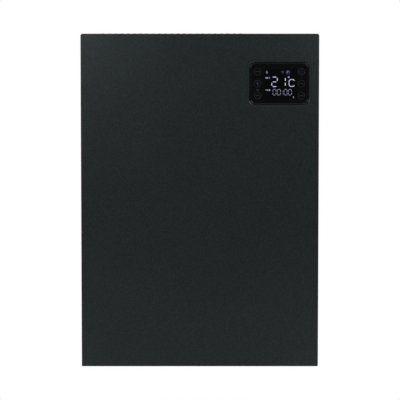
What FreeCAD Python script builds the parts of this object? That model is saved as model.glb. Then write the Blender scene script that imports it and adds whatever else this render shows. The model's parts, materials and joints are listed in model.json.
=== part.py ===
import FreeCAD, Part
import math
import os
import re
import Sketcher
from FreeCAD import Rotation, Vector

# Wall convector heater: a folded steel case that holds a finned heating element, a touch
# control with a lit display and a mains switch, and hooks onto a bracket on the wall.
# Frame: millimetres, +Z up, the front faces -Y and the wall is the plane Y = 0.
# The origin is the middle of the bracket's four wall screws, on the wall.

SIZES = {
    # Case
    "case_width": 430,
    "case_height": 603,
    "case_depth": 85,
    "case_sheet": 1.0,
    "corner_inside": 3.0,
    "foot_corner_ease": 0.1,
    "bend_inside": 1.0,
    "lip_width": 12,
    "rear_sheet": 0.8,
    "rear_inset": 1.5,
    "inlet_slot": 6.0,
    "inlet_round": 2.4,
    "inlet_front": 14,
    "inlet_back": 14,
    "bead_width": 18,
    "bead_height": 2.5,
    "bead_round": 1.2,
    "bead_side": 65,
    "bead_low_end": 90,
    "bead_high_end": 60,
    # Wall bracket and the hooks that carry the case
    "wall_gap": 20,
    "bracket_side": 16,
    "bracket_height": 320,
    "bracket_sheet": 1.5,
    "bracket_gap": 0.4,
    "bracket_bend": 2.0,
    "bracket_window_width": 44,
    "bracket_window_height": 180,
    "bracket_window_round": 6,
    "wall_screw_edge": 17,
    "wall_screw_up": 260,
    "wall_hole_radius": 3.25,
    "hook_spacing": 240,
    "hook_drop": 12,
    "hook_nose": 9,
    "hook_thick": 5,
    "hook_lead_in": 2,
    "hook_clearance": 0.6,
    "hook_slot_width": 4,
    "lift_travel": 11,
    "bumper_radius": 10,
    "bumper_side": 45,
    "bumper_up": 45,
    "bumper_neck": 4,
    "bumper_barb": 5.5,
    "bumper_barb_depth": 3,
    # Screws, studs and nuts
    "screw_radius": 1.75,
    "screw_head_radius": 3.6,
    "screw_head_height": 2.2,
    "screw_length": 6,
    "screw_fit": 0.05,
    "screw_clearance": 0.3,
    "case_screw_end": 60,
    "case_screw_side": 105,
    "stud_radius": 1.5,
    "stud_tip": 1.0,
    "nut_radius": 3.1,
    "nut_height": 2.4,
    "small_screw_radius": 1.2,
    "small_head_radius": 2.5,
    "small_head_height": 1.6,
    "small_screw_length": 5.6,
    # Outlet grille
    "grille_left": 40.6,
    "grille_right": 4.9,
    "grille_front": 10,
    "grille_back": 12.2,
    "grille_margin": 7,
    "grille_sheet": 2,
    "grille_round": 0.8,
    "grille_clearance": 0.3,
    "grille_stud_inset": 40,
    "bar_pitch": 11.25,
    "bar_width": 5.6,
    "bar_round": 2.2,
    "bar_rise": 1.0,
    "bar_depth": 7,
    "grille_rail": 2.4,
    # Touch control
    "window_width": 108.4,
    "window_height": 77.3,
    "window_right": 17.9,
    "window_top": 50.5,
    "window_radius": 11.5,
    "window_edge": 0.7,
    "bezel_clearance": 0.2,
    "bezel_rim": 2.0,
    "bezel_recess": 0.35,
    "bezel_edge": 0.4,
    "bezel_flange": 7,
    "bezel_plate": 3.4,
    "bezel_ledge": 4,
    "bezel_stud_up": 25,
    "boss_radius": 3,
    "boss_height": 6,
    "boss_inset": 4.5,
    "glass_thick": 2.0,
    "glass_recess": 0.2,
    "glass_clearance": 0.15,
    "glass_edge": 0.3,
    "board_thick": 1.6,
    "display_board_margin": 2.2,
    "display_width": 56,
    "display_height": 55,
    "display_shift": 3.2,
    "display_drop": 1.4,
    "display_gap": 0.3,
    "key_column": 39.4,
    "key_pitch": 21.6,
    "key_pad_radius": 3.2,
    "radio_width": 18,
    "radio_height": 25,
    "radio_thick": 3.2,
    "radio_side": 30,
    "buzzer_radius": 6,
    "buzzer_height": 7,
    "buzzer_side": 28,
    # Partition and heating element
    "chamber_gap": 3.7,
    "plate_sheet": 0.8,
    "plate_gap": 2,
    "plate_flange": 14,
    "plate_screw_end": 60,
    "element_height": 115,
    "element_depth": 42,
    "element_left": 28,
    "element_stub": 14,
    "tube_radius": 4,
    "tube_pitch": 34,
    "bush_wall": 1.6,
    "bush_collar": 2.4,
    "bush_thick": 2,
    "bush_fit": 0.1,
    "bracket_offset": 9,
    "bracket_overhang": 13,
    "fin_thick": 0.6,
    "fin_pitch": 7,
    "fin_depth": 46,
    "fin_height": 74,
    "fin_end_gap": 6,
    "fin_fit": 0.05,
    "terminal_radius": 4.6,
    "terminal_length": 7,
    "terminal_pin": 2,
    "terminal_reach": 10,
    "reflector_sheet": 0.5,
    "reflector_lift": 11,
    "reflector_foot": 12,
    "reflector_below": 15,
    "reflector_hook_gap": 23,
    "reflector_side": 4,
    "reflector_screw_side": 30,
    "cutout_radius": 8,
    "cutout_reach": 8,
    "cutout_body": 8,
    "cutout_rise": 30,
    "cutout_flange": 1.2,
    "cutout_screw_out": 2.6,
    "cutout_ear_end": 2.5,
    "cutout_ear_half": 5,
    "cutout_tab_gap": 8,
    "tab_length": 8,
    "tab_width": 4.8,
    "tab_thick": 0.8,
    # Power electronics
    "board_side": 18,
    "board_right_gap": 3,
    "board_height": 140,
    "board_below": 41.3,
    "board_lift": 12,
    "board_hole_inset": 6,
    "standoff_radius": 3.5,
    "insulator_thick": 0.4,
    "insulator_margin": 1,
    "relay_width": 15.5,
    "relay_height": 19,
    "relay_depth": 15.3,
    "relay_pitch": 22,
    "relay_side": 14,
    "relay_up": 96,
    "block_width": 52,
    "block_height": 12,
    "block_depth": 14,
    "block_side": 10,
    "block_up": 14,
    "block_pitch": 10,
    "transformer_width": 32,
    "transformer_height": 28,
    "transformer_depth": 24,
    "transformer_side": 62,
    "transformer_up": 70,
    "capacitor_radius": 5,
    "capacitor_height": 16,
    "capacitor_side": 22,
    "capacitor_pitch": 14,
    "capacitor_up": 70,
    "fuse_radius": 2.6,
    "fuse_length": 20,
    "fuse_cap": 5,
    "fuse_cap_radius": 3.0,
    "fuse_side": 70,
    "fuse_up": 40,
    "plug_width": 12,
    "plug_height": 6,
    "plug_depth": 7,
    "plug_end": 14,
    "sensor_plug_side": 76,
    "sensor_plug_up": 10,
    "ribbon_width": 10,
    "ribbon_thick": 1.2,
    "ribbon_bend": 5,
    "ribbon_setback": 18,
    # Mains switch, cable entry, sensor and earth
    "entry_back": 26,
    "switch_right": 62,
    "switch_rim": 1.0,
    "switch_flange": 1.8,
    "switch_end_wall": 0.8,
    "switch_side_wall": 1.7,
    "switch_rise": 13,
    "switch_fit": 0.3,
    "switch_barb": 0.8,
    "switch_barb_rise": 2.5,
    "switch_tab_at": 5,
    "rocker_length": 16,
    "rocker_width": 9,
    "rocker_edge": 4.2,
    "rocker_valley": 2.7,
    "rocker_root": 1.5,
    "rocker_round": 0.8,
    "rocker_gap": 1.0,
    "rocker_side_gap": 0.4,
    "rocker_room": 4.5,
    "rocker_tilt": 9,
    "pivot_rise": 1.2,
    "pivot_radius": 1.2,
    "pivot_length": 1.4,
    "pivot_fit": 0.06,
    "gland_right": 28,
    "cord_radius": 3.6,
    "seal_wall": 1.9,
    "gland_fit": 0.1,
    "gland_clearance": 0.2,
    "gland_neck_wall": 1.9,
    "gland_neck_tip": 2,
    "gland_flange_rim": 2.0,
    "gland_flange": 3,
    "gland_collar_wall": 1.0,
    "gland_collar_length": 3.5,
    "gland_cap_wall": 1.9,
    "gland_cap_end": 1.5,
    "gland_mouth_gap": 0.8,
    "gland_nut_wall": 3.5,
    "gland_nut": 4,
    "sensor_right": 108,
    "sensor_front": 24,
    "sensor_radius": 2.5,
    "sensor_length": 22,
    "sensor_fit": 0.1,
    "clip_height": 12,
    "clip_width": 9,
    "clip_length": 8,
    "earth_right": 36,
    "earth_up": 100,
    "earth_radius": 2,
    "earth_base_radius": 5,
    "earth_base": 1.2,
    "earth_length": 14,
    "earth_nut_radius": 4,
    "earth_nut_height": 3.2,
    # Routes of the wires
    "lead_radius": 1.5,
    "sensor_lead_radius": 1.0,
    "lead_out": 12,
    "lead_lean": 5,
    "lead_turn": 24,
    "lead_step": 16,
    "lead_forward": 10,
    "switch_lead_drop": 120,
    "sensor_lead_drop": 64,
}

# Places that follow from the sizes
LEFT = "(-case_width / 2)"
RIGHT = "(case_width / 2)"
BOTTOM = "(-case_height / 2)"
TOP = "(case_height / 2)"
FRONT = "(-wall_gap - case_depth)"
BACK = "(-wall_gap)"
INNER_FRONT = f"({FRONT} + case_sheet)"
INNER_BACK = f"({BACK} - rear_sheet)"
INNER_TOP = f"({TOP} - case_sheet)"
INNER_BOTTOM = f"({BOTTOM} + case_sheet)"
FOOT_CORNER = "(bend_inside + foot_corner_ease)"

PLATE_X = f"({RIGHT} - window_right - window_width - bezel_flange - chamber_gap)"
BRACKET_HALF = f"({PLATE_X} - bracket_side)"
PLATE_LOW = f"({BOTTOM} + lip_width + plate_gap)"
PLATE_HIGH = f"({TOP} - lip_width - plate_gap)"

FIRST_BAR = f"({LEFT} + grille_left)"
LAST_BAR = f"({PLATE_X} - grille_right)"
BAR_COUNT = f"round(({LAST_BAR} - {FIRST_BAR}) / bar_pitch) + 1"
OUTLET_FRONT = f"({FRONT} + grille_front)"
OUTLET_BACK = f"({INNER_BACK} - grille_back)"

WINDOW_X = f"({RIGHT} - window_right - window_width / 2)"
WINDOW_Z = f"({TOP} - window_top - window_height / 2)"
RIM_FRONT = f"({FRONT} + bezel_recess)"
GLASS_FRONT = f"({RIM_FRONT} + glass_recess)"
GLASS_BACK = f"({GLASS_FRONT} + glass_thick)"
GLASS_HALF_WIDTH = "(window_width / 2 - bezel_clearance - bezel_rim)"
GLASS_HALF_HEIGHT = "(window_height / 2 - bezel_clearance - bezel_rim)"
GLASS_ROUND = "(window_radius - bezel_clearance - bezel_rim)"
BEZEL_BACK = f"({INNER_FRONT} + bezel_plate)"
DISPLAY_BOARD_FRONT = f"({BEZEL_BACK} + boss_height)"
DISPLAY_BOARD_BACK = f"({DISPLAY_BOARD_FRONT} + board_thick)"

BUSH_NECK = "(tube_radius + bush_wall)"
CUTOUT_SCREW_OUT = "(cutout_radius + cutout_screw_out)"
ELEMENT_Y = f"({INNER_BACK} - element_depth)"
ELEMENT_Z = f"({BOTTOM} + element_height)"
BEND_X = f"({LEFT} + element_left)"
BRACKET_X = f"({BEND_X} + bracket_offset)"
TUBE_END = f"({PLATE_X} + element_stub)"
TUBE_HEIGHTS = (f"({ELEMENT_Z} - tube_pitch / 2)", f"({ELEMENT_Z} + tube_pitch / 2)")
CUTOUT_Z = f"({ELEMENT_Z} + fin_height / 2 + cutout_rise)"
REFLECTOR_LOW = f"({ELEMENT_Z} - fin_height / 2 - reflector_below)"
SLOT_FOOT = "(hook_drop + lift_travel + hook_clearance)"
REFLECTOR_HIGH = f"(hook_spacing / 2 - {SLOT_FOOT} - reflector_foot - reflector_hook_gap)"
REFLECTOR_LEFT = f"({BRACKET_X} + plate_flange + reflector_side)"
REFLECTOR_RIGHT = f"({PLATE_X} - plate_sheet - reflector_side)"

BOARD_LEFT = f"({PLATE_X} + board_side)"
BOARD_RIGHT = f"({RIGHT} - lip_width - board_right_gap)"
BOARD_HIGH = f"({WINDOW_Z} - window_height / 2 - board_below)"
BOARD_LOW = f"({BOARD_HIGH} - board_height)"
BOARD_BACK = f"({INNER_BACK} - board_lift)"
BOARD_FRONT = f"({BOARD_BACK} - board_thick)"

ENTRY_Y = f"({INNER_BACK} - entry_back)"
SWITCH_X = f"({RIGHT} - switch_right)"
SWITCH_HALF_LENGTH = "(rocker_length / 2 + rocker_gap + switch_end_wall)"
SWITCH_HALF_WIDTH = "(rocker_width / 2 + rocker_side_gap + switch_side_wall)"
PIVOT_Z = f"({BOTTOM} + pivot_rise)"
SWITCH_TOP = f"({BOTTOM} + switch_rise)"
GLAND_X = f"({RIGHT} - gland_right)"
GLAND_BORE = "(cord_radius + seal_wall + gland_fit)"
GLAND_NECK = f"({GLAND_BORE} + gland_neck_wall)"
GLAND_COLLAR = f"({GLAND_BORE} + gland_collar_wall)"
SENSOR_X = f"({RIGHT} - sensor_right)"
SENSOR_Y = f"({FRONT} + sensor_front)"
SENSOR_Z = f"({INNER_BOTTOM} + clip_height / 2)"
EARTH_X = f"({RIGHT} - earth_right)"
EARTH_Z = f"({BOTTOM} + earth_up)"

doc = FreeCAD.newDocument("heater")
nodes = []


# The spreadsheet and formulas bound to it

def fill_sheet():
    """Writes each driving size to its own named cell."""
    sheet = doc.addObject("Spreadsheet::Sheet", "dims")
    for row, (name, size) in enumerate(SIZES.items(), start=1):
        sheet.set(f"A{row}", name)
        sheet.set(f"B{row}", str(size))
        sheet.setAlias(f"B{row}", name)
    doc.recompute()


def bound(formula):
    """Writes the sheet's names in a formula the way other objects refer to them."""
    return re.sub(r"\b[a-z_]+\b(?!\()", r"dims.\g<0>", formula)


def value(formula):
    return float(doc.dims.evalExpression(bound(formula)))


def point(x, y, z):
    return Vector(value(x), value(y), value(z))


def around(centre, half):
    """The low and high formulas of a span about its centre."""
    return (f"{centre} - ({half})", f"{centre} + ({half})")


def widen(span, margin):
    return (f"{span[0]} - ({margin})", f"{span[1]} + ({margin})")


def keep(piece, label):
    """Names a finished sub-part and puts it on the list that is written out."""
    piece.Label = label
    nodes.append(piece)
    return piece


# Sketch shapes: each returns a function that draws it into a sketch

def tie_point(sketch, geometry, corner, x, y):
    for kind, formula in (("DistanceX", x), ("DistanceY", y)):
        tie = Sketcher.Constraint(kind, -1, 1, geometry, corner, value(formula))
        index = sketch.addConstraint(tie)
        sketch.setExpression(f"Constraints[{index}]", bound(formula))


def tie_radius(sketch, geometry, radius):
    index = sketch.addConstraint(Sketcher.Constraint("Radius", geometry, value(radius)))
    sketch.setExpression(f"Constraints[{index}]", bound(radius))


def outline(*corners):
    """A closed outline of straight lines through corners given as two formulas each."""
    def draw(sketch):
        places = [Vector(value(x), value(y), 0) for x, y in corners]
        first = sketch.GeometryCount
        for i, place in enumerate(places):
            sketch.addGeometry(Part.LineSegment(place, places[(i + 1) % len(places)]))
        for i, corner in enumerate(corners):
            after = first + (i + 1) % len(corners)
            sketch.addConstraint(Sketcher.Constraint("Coincident", first + i, 2, after, 1))
            tie_point(sketch, first + i, 1, *corner)
    return draw


def rectangle(x, y):
    return outline((x[0], y[0]), (x[1], y[0]), (x[1], y[1]), (x[0], y[1]))


def rounded(x, y, radius, foot=None):
    """A rectangle with round corners; the lower two may have a radius of their own."""
    foot = foot or radius

    def draw(sketch):
        left, right, low, high = x[0], x[1], y[0], y[1]
        ends = (
            ((f"{left} + ({foot})", low), (f"{right} - ({foot})", low)),
            ((right, f"{low} + ({foot})"), (right, f"{high} - ({radius})")),
            ((f"{right} - ({radius})", high), (f"{left} + ({radius})", high)),
            ((left, f"{high} - ({radius})"), (left, f"{low} + ({foot})")),
        )
        bends = (foot, radius, radius, foot)
        first = sketch.GeometryCount
        for side, (start, end) in enumerate(ends):
            bend = value(bends[side])
            begin = Vector(value(start[0]), value(start[1]), 0)
            stop = Vector(value(end[0]), value(end[1]), 0)
            ahead = (stop - begin).normalize()
            inward = Vector(-ahead.y, ahead.x, 0)
            centre = stop + inward * bend
            turn = (side - 1) * math.pi / 2
            circle_line = Part.Circle(centre, Vector(0, 0, 1), bend)
            sketch.addGeometry(Part.LineSegment(begin, stop))
            sketch.addGeometry(Part.ArcOfCircle(circle_line, turn, turn + math.pi / 2))
        for side, (start, end) in enumerate(ends):
            line = first + 2 * side
            arc = line + 1
            after = first + (2 * side + 2) % 8
            sketch.addConstraint(Sketcher.Constraint("Coincident", line, 2, arc, 1))
            sketch.addConstraint(Sketcher.Constraint("Coincident", arc, 2, after, 1))
            tie_point(sketch, line, 1, *start)
            tie_point(sketch, line, 2, *end)
            tie_radius(sketch, arc, bends[side])
    return draw


def circle(x, y, radius):
    def draw(sketch):
        centre = Vector(value(x), value(y), 0)
        index = sketch.addGeometry(Part.Circle(centre, Vector(0, 0, 1), value(radius)))
        tie_point(sketch, index, 3, x, y)
        tie_radius(sketch, index, radius)
    return draw


# Body features

def new_body(label):
    return keep(doc.addObject("PartDesign::Body", label), label)


def origin_part(body, role):
    return next(part for part in body.Origin.OriginFeatures if part.Role == role)


def sketch_on(body, plane, place, shapes):
    """A sketch parallel to an origin plane of its body, at a place along that plane's axis."""
    sketch = body.newObject("Sketcher::SketchObject", f"{body.Label}_sketch")
    sketch.AttachmentSupport = [(origin_part(body, f"{plane}_Plane"), "")]
    sketch.MapMode = "FlatFace"
    sign = "-" if plane == "XZ" else ""
    sketch.setExpression("AttachmentOffset.Base.z", bound(f"{sign}({place})"))
    for draw in shapes:
        draw(sketch)
    return sketch


def pad(body, plane, low, high, *shapes):
    """Adds a prism of the shapes from low to high along the plane's axis."""
    feature = body.newObject("PartDesign::Pad", f"{body.Label}_pad")
    feature.Profile = sketch_on(body, plane, low, shapes)
    feature.Reversed = plane == "XZ"
    feature.setExpression("Length", bound(f"({high}) - ({low})"))
    body.Tip = feature
    doc.recompute()
    return feature


def pocket(body, plane, low, high, *shapes):
    """Cuts a prism of the shapes from low to high along the plane's axis."""
    before = body.Shape.Volume
    feature = body.newObject("PartDesign::Pocket", f"{body.Label}_pocket")
    feature.Profile = sketch_on(body, plane, low, shapes)
    feature.Reversed = plane != "XZ"
    feature.setExpression("Length", bound(f"({high}) - ({low})"))
    body.Tip = feature
    doc.recompute()
    if not body.Shape.Volume < before:
        raise RuntimeError(f"a cut in {body.Label} removes nothing")
    return feature


def repeat(body, feature, axis, length, count):
    pattern = body.newObject("PartDesign::LinearPattern", f"{body.Label}_row")
    pattern.Originals = [feature]
    pattern.Direction = (origin_part(body, f"{axis}_Axis"), [""])
    pattern.setExpression("Length", bound(length))
    pattern.setExpression("Occurrences", bound(count))
    body.Tip = pattern
    doc.recompute()


PLACE_TOLERANCE = 0.001


def within(edge, axis, span):
    box = edge.BoundBox
    low = getattr(box, f"{axis.upper()}Min") + PLACE_TOLERANCE
    high = getattr(box, f"{axis.upper()}Max") - PLACE_TOLERANCE
    return low > value(span[0]) and high < value(span[1])


def dress(body, kind, size_name, size, **spans):
    """Rounds or bevels the body's edges that lie inside the given spans."""
    base = body.Tip
    edges = [
        f"Edge{number}"
        for number, edge in enumerate(base.Shape.Edges, start=1)
        if all(within(edge, axis, span) for axis, span in spans.items())
    ]
    feature = body.newObject(f"PartDesign::{kind}", f"{body.Label}_{kind.lower()}")
    feature.Base = (base, edges)
    feature.setExpression(size_name, bound(size))
    body.Tip = feature
    doc.recompute()


def fillet(body, radius, **spans):
    dress(body, "Fillet", "Radius", radius, **spans)


def chamfer(body, size, **spans):
    dress(body, "Chamfer", "Size", size, **spans)


# Plain solids and booleans

def block(x, y, z):
    """A box between low and high formulas on each axis."""
    piece = doc.addObject("Part::Box", "block")
    for size, axis, (low, high) in (("Length", "x", x), ("Width", "y", y), ("Height", "z", z)):
        piece.setExpression(size, bound(f"({high}) - ({low})"))
        piece.setExpression(f"Placement.Base.{axis}", bound(low))
    return piece


AXIS_TURNS = {
    "x": Rotation(Vector(0, 1, 0), 90),
    "y": Rotation(Vector(1, 0, 0), -90),
    "z": Rotation(),
}


def along(piece, axis, across, span):
    """Stands a solid along an axis, from low to high, at two formulas across it."""
    piece.Placement = FreeCAD.Placement(Vector(), AXIS_TURNS[axis])
    places = dict(zip("xyz".replace(axis, ""), across))
    places[axis] = span[0]
    for name, formula in places.items():
        piece.setExpression(f"Placement.Base.{name}", bound(formula))
    piece.setExpression("Height", bound(f"({span[1]}) - ({span[0]})"))
    return piece


def rod(axis, across, span, radius):
    piece = doc.addObject("Part::Cylinder", "rod")
    piece.setExpression("Radius", bound(radius))
    return along(piece, axis, across, span)


def hexagon(axis, across, span, radius):
    piece = doc.addObject("Part::Prism", "hexagon")
    piece.Polygon = 6
    piece.setExpression("Circumradius", bound(radius))
    return along(piece, axis, across, span)


def cut(base, *tools):
    piece = doc.addObject("Part::Cut", "cut")
    piece.Base = base
    piece.Tool = tools[0] if len(tools) == 1 else fuse(*tools)
    return piece


def fuse(*pieces):
    piece = doc.addObject("Part::MultiFuse", "joined")
    piece.Shapes = list(pieces)
    return piece


def group(label, pieces):
    """Several separate solids in one node."""
    piece = doc.addObject("Part::Compound", label)
    piece.Links = list(pieces)
    return keep(piece, label)


def screw(axis, across, seat, into, shank, length, head, head_height):
    """A pan-head screw whose head lies on a seat and whose shank points along plus or minus an axis."""
    tip = f"{seat} {into} {length}"
    crown = f"{seat} {'-' if into == '+' else '+'} {head_height}"
    shank_span = (seat, tip) if into == "+" else (tip, seat)
    head_span = (crown, seat) if into == "+" else (seat, crown)
    return fuse(rod(axis, across, shank_span, shank), rod(axis, across, head_span, head))


def small_screw(axis, across, seat, into):
    return screw(axis, across, seat, into, "small_screw_radius", "small_screw_length",
                 "small_head_radius", "small_head_height")


def nut(axis, across, span, radius, thread):
    return cut(hexagon(axis, across, span, radius), rod(axis, across, span, f"{thread} + screw_fit"))


# Places of the screws that go in through the rear panel, by node

def mirrored(x, z):
    return [(f"{i}({x})", f"{k}({z})") for i in ("-", "") for k in ("-", "")]


CASE_SIDE = "case_width / 2 - lip_width / 2"
CASE_END = "case_height / 2 - lip_width / 2"
PLATE_SCREW_X = f"{PLATE_X} + plate_flange / 2"
BRACKET_SCREW_X = f"{BRACKET_X} + plate_flange / 2"

STANDOFFS = [
    (x, z)
    for x in (f"{BOARD_LEFT} + board_hole_inset", f"{BOARD_RIGHT} - board_hole_inset")
    for z in (f"{BOARD_LOW} + board_hole_inset", f"{BOARD_HIGH} - board_hole_inset")
]
REAR_SCREWS = {
    "rear_panel_screws": (
        mirrored(CASE_SIDE, "case_height / 2 - case_screw_end")
        + mirrored("case_width / 2 - case_screw_side", CASE_END)
        + [(f"-({CASE_SIDE})", "0"), (CASE_SIDE, "0")]
    ),
    "partition_screws": [
        (PLATE_SCREW_X, f"{PLATE_LOW} + plate_screw_end"),
        (PLATE_SCREW_X, f"({PLATE_LOW} + {PLATE_HIGH}) / 2"),
        (PLATE_SCREW_X, f"{PLATE_HIGH} - plate_screw_end"),
    ],
    "element_bracket_screws": [(BRACKET_SCREW_X, height) for height in TUBE_HEIGHTS],
    "reflector_screws": [
        (x, z)
        for x in (f"{REFLECTOR_LEFT} + reflector_screw_side", f"{REFLECTOR_RIGHT} - reflector_screw_side")
        for z in (f"{REFLECTOR_LOW} - reflector_foot / 2", f"{REFLECTOR_HIGH} + reflector_foot / 2")
    ],
    "standoff_screws": STANDOFFS,
}
BUMPERS = [
    (f"{LEFT} + bumper_side", f"{BOTTOM} + bumper_up"),
    (f"{RIGHT} - bumper_side", f"{BOTTOM} + bumper_up"),
]
PILOT = "screw_radius + screw_fit"


def pilot_holes(node):
    return [circle(x, z, PILOT) for x, z in REAR_SCREWS[node]]


# Case and wall fixing

GRILLE_STUDS = [
    (x, y)
    for x in (f"{FIRST_BAR} + grille_stud_inset", f"{LAST_BAR} - grille_stud_inset")
    for y in (f"{OUTLET_FRONT} - grille_margin / 2", f"{OUTLET_BACK} + grille_margin / 2")
]
BEZEL_STUDS = [
    (f"{WINDOW_X} {i} (window_width / 2 + bezel_flange / 2)", f"{WINDOW_Z} {k} bezel_stud_up")
    for i in "-+" for k in "-+"
]
GRILLE_STUD_SPAN = (f"{INNER_TOP} - grille_sheet - nut_height - stud_tip", INNER_TOP)
BEZEL_STUD_SPAN = (INNER_FRONT, f"{BEZEL_BACK} + nut_height + stud_tip")
OUTLET_X = (f"{FIRST_BAR} - bar_width / 2 - grille_clearance",
            f"{LAST_BAR} + bar_width / 2 + grille_clearance")
OUTLET_Y = (OUTLET_FRONT, OUTLET_BACK)
WINDOW_SPAN_X = around(WINDOW_X, "window_width / 2")
WINDOW_SPAN_Z = around(WINDOW_Z, "window_height / 2")


def front_panel():
    """A tray folded from one sheet: front, four sides and a narrow lip round the back."""
    body = new_body("front_panel")
    width, height = (LEFT, RIGHT), (BOTTOM, TOP)
    pad(body, "XZ", FRONT, INNER_BACK,
        rounded(width, height, "corner_inside + case_sheet", f"{FOOT_CORNER} + case_sheet"))
    fillet(body, "bend_inside + case_sheet", y=(FRONT, FRONT))
    hollow = rounded(widen(width, "-case_sheet"), widen(height, "-case_sheet"),
                     "corner_inside", FOOT_CORNER)
    pocket(body, "XZ", INNER_FRONT, f"{INNER_BACK} - case_sheet", hollow)
    fillet(body, "bend_inside", y=(INNER_FRONT, INNER_FRONT))
    opening = rectangle(widen(width, "-lip_width"), widen(height, "-lip_width"))
    pocket(body, "XZ", f"{INNER_BACK} - case_sheet", INNER_BACK, opening)
    pocket(body, "XZ", FRONT, INNER_FRONT, rounded(WINDOW_SPAN_X, WINDOW_SPAN_Z, "window_radius"))
    fillet(body, "min(window_edge; 0.8 * case_sheet)", x=WINDOW_SPAN_X, y=(FRONT, FRONT), z=WINDOW_SPAN_Z)
    pocket(body, "XY", INNER_TOP, TOP, rounded(OUTLET_X, OUTLET_Y, "grille_round"))
    pocket(body, "XY", BOTTOM, INNER_BOTTOM,
           circle(GLAND_X, ENTRY_Y, f"{GLAND_NECK} + gland_clearance"),
           rectangle(around(SWITCH_X, f"{SWITCH_HALF_LENGTH} + switch_fit"),
                     around(ENTRY_Y, f"{SWITCH_HALF_WIDTH} + switch_fit")))
    pocket(body, "XZ", f"{INNER_BACK} - case_sheet", INNER_BACK, *pilot_holes("rear_panel_screws"))
    pad(body, "XZ", *BEZEL_STUD_SPAN, *[circle(x, z, "stud_radius") for x, z in BEZEL_STUDS])
    pad(body, "XY", *GRILLE_STUD_SPAN, *[circle(x, y, "stud_radius") for x, y in GRILLE_STUDS])
    slot = rounded(around(FIRST_BAR, "inlet_slot / 2"),
                   (f"{FRONT} + inlet_front", f"{INNER_BACK} - inlet_back"), "inlet_round")
    first_slot = pocket(body, "XY", BOTTOM, INNER_BOTTOM, slot)
    repeat(body, first_slot, "X", f"{LAST_BAR} - {FIRST_BAR}", BAR_COUNT)


def hook_floors():
    """Heights of the hooks' throats, where the slots of the rear panel rest."""
    return ("-hook_spacing / 2", "hook_spacing / 2")


def bead_shapes(inset):
    """The two upright stiffening beads of the rear panel, drawn in from their outside by an inset."""
    height = widen((f"{BOTTOM} + bead_low_end", f"{TOP} - bead_high_end"), f"-({inset})")
    return [
        rounded(around(f"{side}(case_width / 2 - bead_side)", f"bead_width / 2 - {inset}"), height,
                f"bead_width / 3 - {inset}")
        for side in ("-", "")
    ]


def rear_panel():
    """A flat back plate with two pressed beads, hook slots and the holes of its screws."""
    body = new_body("rear_panel")
    width, height = widen((LEFT, RIGHT), "-rear_inset"), widen((BOTTOM, TOP), "-rear_inset")
    crest = f"({BACK} + bead_height)"
    pad(body, "XZ", INNER_BACK, BACK, rounded(width, height, "corner_inside", FOOT_CORNER))
    pad(body, "XZ", BACK, crest, *bead_shapes("0"))
    fillet(body, "bead_round", y=(crest, crest))
    pocket(body, "XZ", INNER_BACK, f"{crest} - rear_sheet", *bead_shapes("rear_sheet"))
    slots = [
        rectangle(around(f"{side}({BRACKET_HALF} - bracket_sheet / 2)", "hook_slot_width / 2"),
                  (f"{floor} - {SLOT_FOOT}", floor))
        for side in ("-", "") for floor in hook_floors()
    ]
    holes = [circle(x, z, "screw_radius + screw_clearance")
             for places in REAR_SCREWS.values() for x, z in places]
    bumper_holes = [circle(x, z, "bumper_neck + screw_clearance") for x, z in BUMPERS]
    pocket(body, "XZ", INNER_BACK, BACK, *slots, *holes, *bumper_holes)


def hook(floor):
    """One hook seen from the side: a tongue through the rear panel and an upright nose."""
    root = "-wall_gap + bracket_gap + bracket_sheet"
    throat = f"{INNER_BACK} - hook_clearance"
    tip = f"{throat} - hook_thick"
    return outline((root, f"{floor} - hook_drop"), (tip, f"{floor} - hook_drop"),
                   (tip, f"{floor} + hook_nose - hook_lead_in"),
                   (f"{tip} + hook_lead_in", f"{floor} + hook_nose"),
                   (throat, f"{floor} + hook_nose"), (throat, floor), (root, floor))


def wall_bracket():
    """A channel screwed to the wall, whose two folded sides carry two hooks each."""
    body = new_body("wall_bracket")
    half, inner, deep = BRACKET_HALF, f"{BRACKET_HALF} - bracket_sheet", "-wall_gap + bracket_gap"
    web = "-bracket_sheet"
    height = around("0", "bracket_height / 2")
    pad(body, "XY", *height, outline(
        (f"-{half}", "0"), (f"-{half}", deep), (f"-({inner})", deep), (f"-({inner})", web),
        (inner, web), (inner, deep), (half, deep), (half, "0")))
    hooks = [hook(floor) for floor in hook_floors()]
    pad(body, "YZ", inner, half, *hooks)
    pad(body, "YZ", f"-{half}", f"-({inner})", *hooks)
    fillet(body, "bracket_bend", x=(f"-{half}", f"-{half}"), y=("0", "0"))
    fillet(body, "bracket_bend", x=(half, half), y=("0", "0"))
    window = rounded(around("0", "bracket_window_width / 2"), around("0", "bracket_window_height / 2"),
                     "bracket_window_round")
    holes = [circle(x, z, "wall_hole_radius")
             for x, z in mirrored(f"{BRACKET_HALF} - wall_screw_edge", "wall_screw_up / 2")]
    pocket(body, "XZ", web, "0", window, *holes)


def wall_bumpers():
    """Push-in spacers: a thick pad, a neck through the rear panel and a barb inside it."""
    pieces = []
    for x, z in BUMPERS:
        spacer = rod("y", (x, z), (BACK, "0"), "bumper_radius")
        neck = rod("y", (x, z), (INNER_BACK, BACK), "bumper_neck")
        barb = rod("y", (x, z), (f"{INNER_BACK} - bumper_barb_depth", INNER_BACK), "bumper_barb")
        pieces.append(fuse(spacer, neck, barb))
    group("wall_bumpers", pieces)


def rear_screw_groups():
    for label, places in REAR_SCREWS.items():
        group(label, [screw("y", place, BACK, "-", "screw_radius", "screw_length",
                            "screw_head_radius", "screw_head_height") for place in places])


SLATS_X = (f"{FIRST_BAR} - bar_width / 2", f"{LAST_BAR} + bar_width / 2")
SLATS_Y = widen(OUTLET_Y, "-grille_clearance")
SLATS_LOW = f"({INNER_TOP} - bar_depth)"


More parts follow.
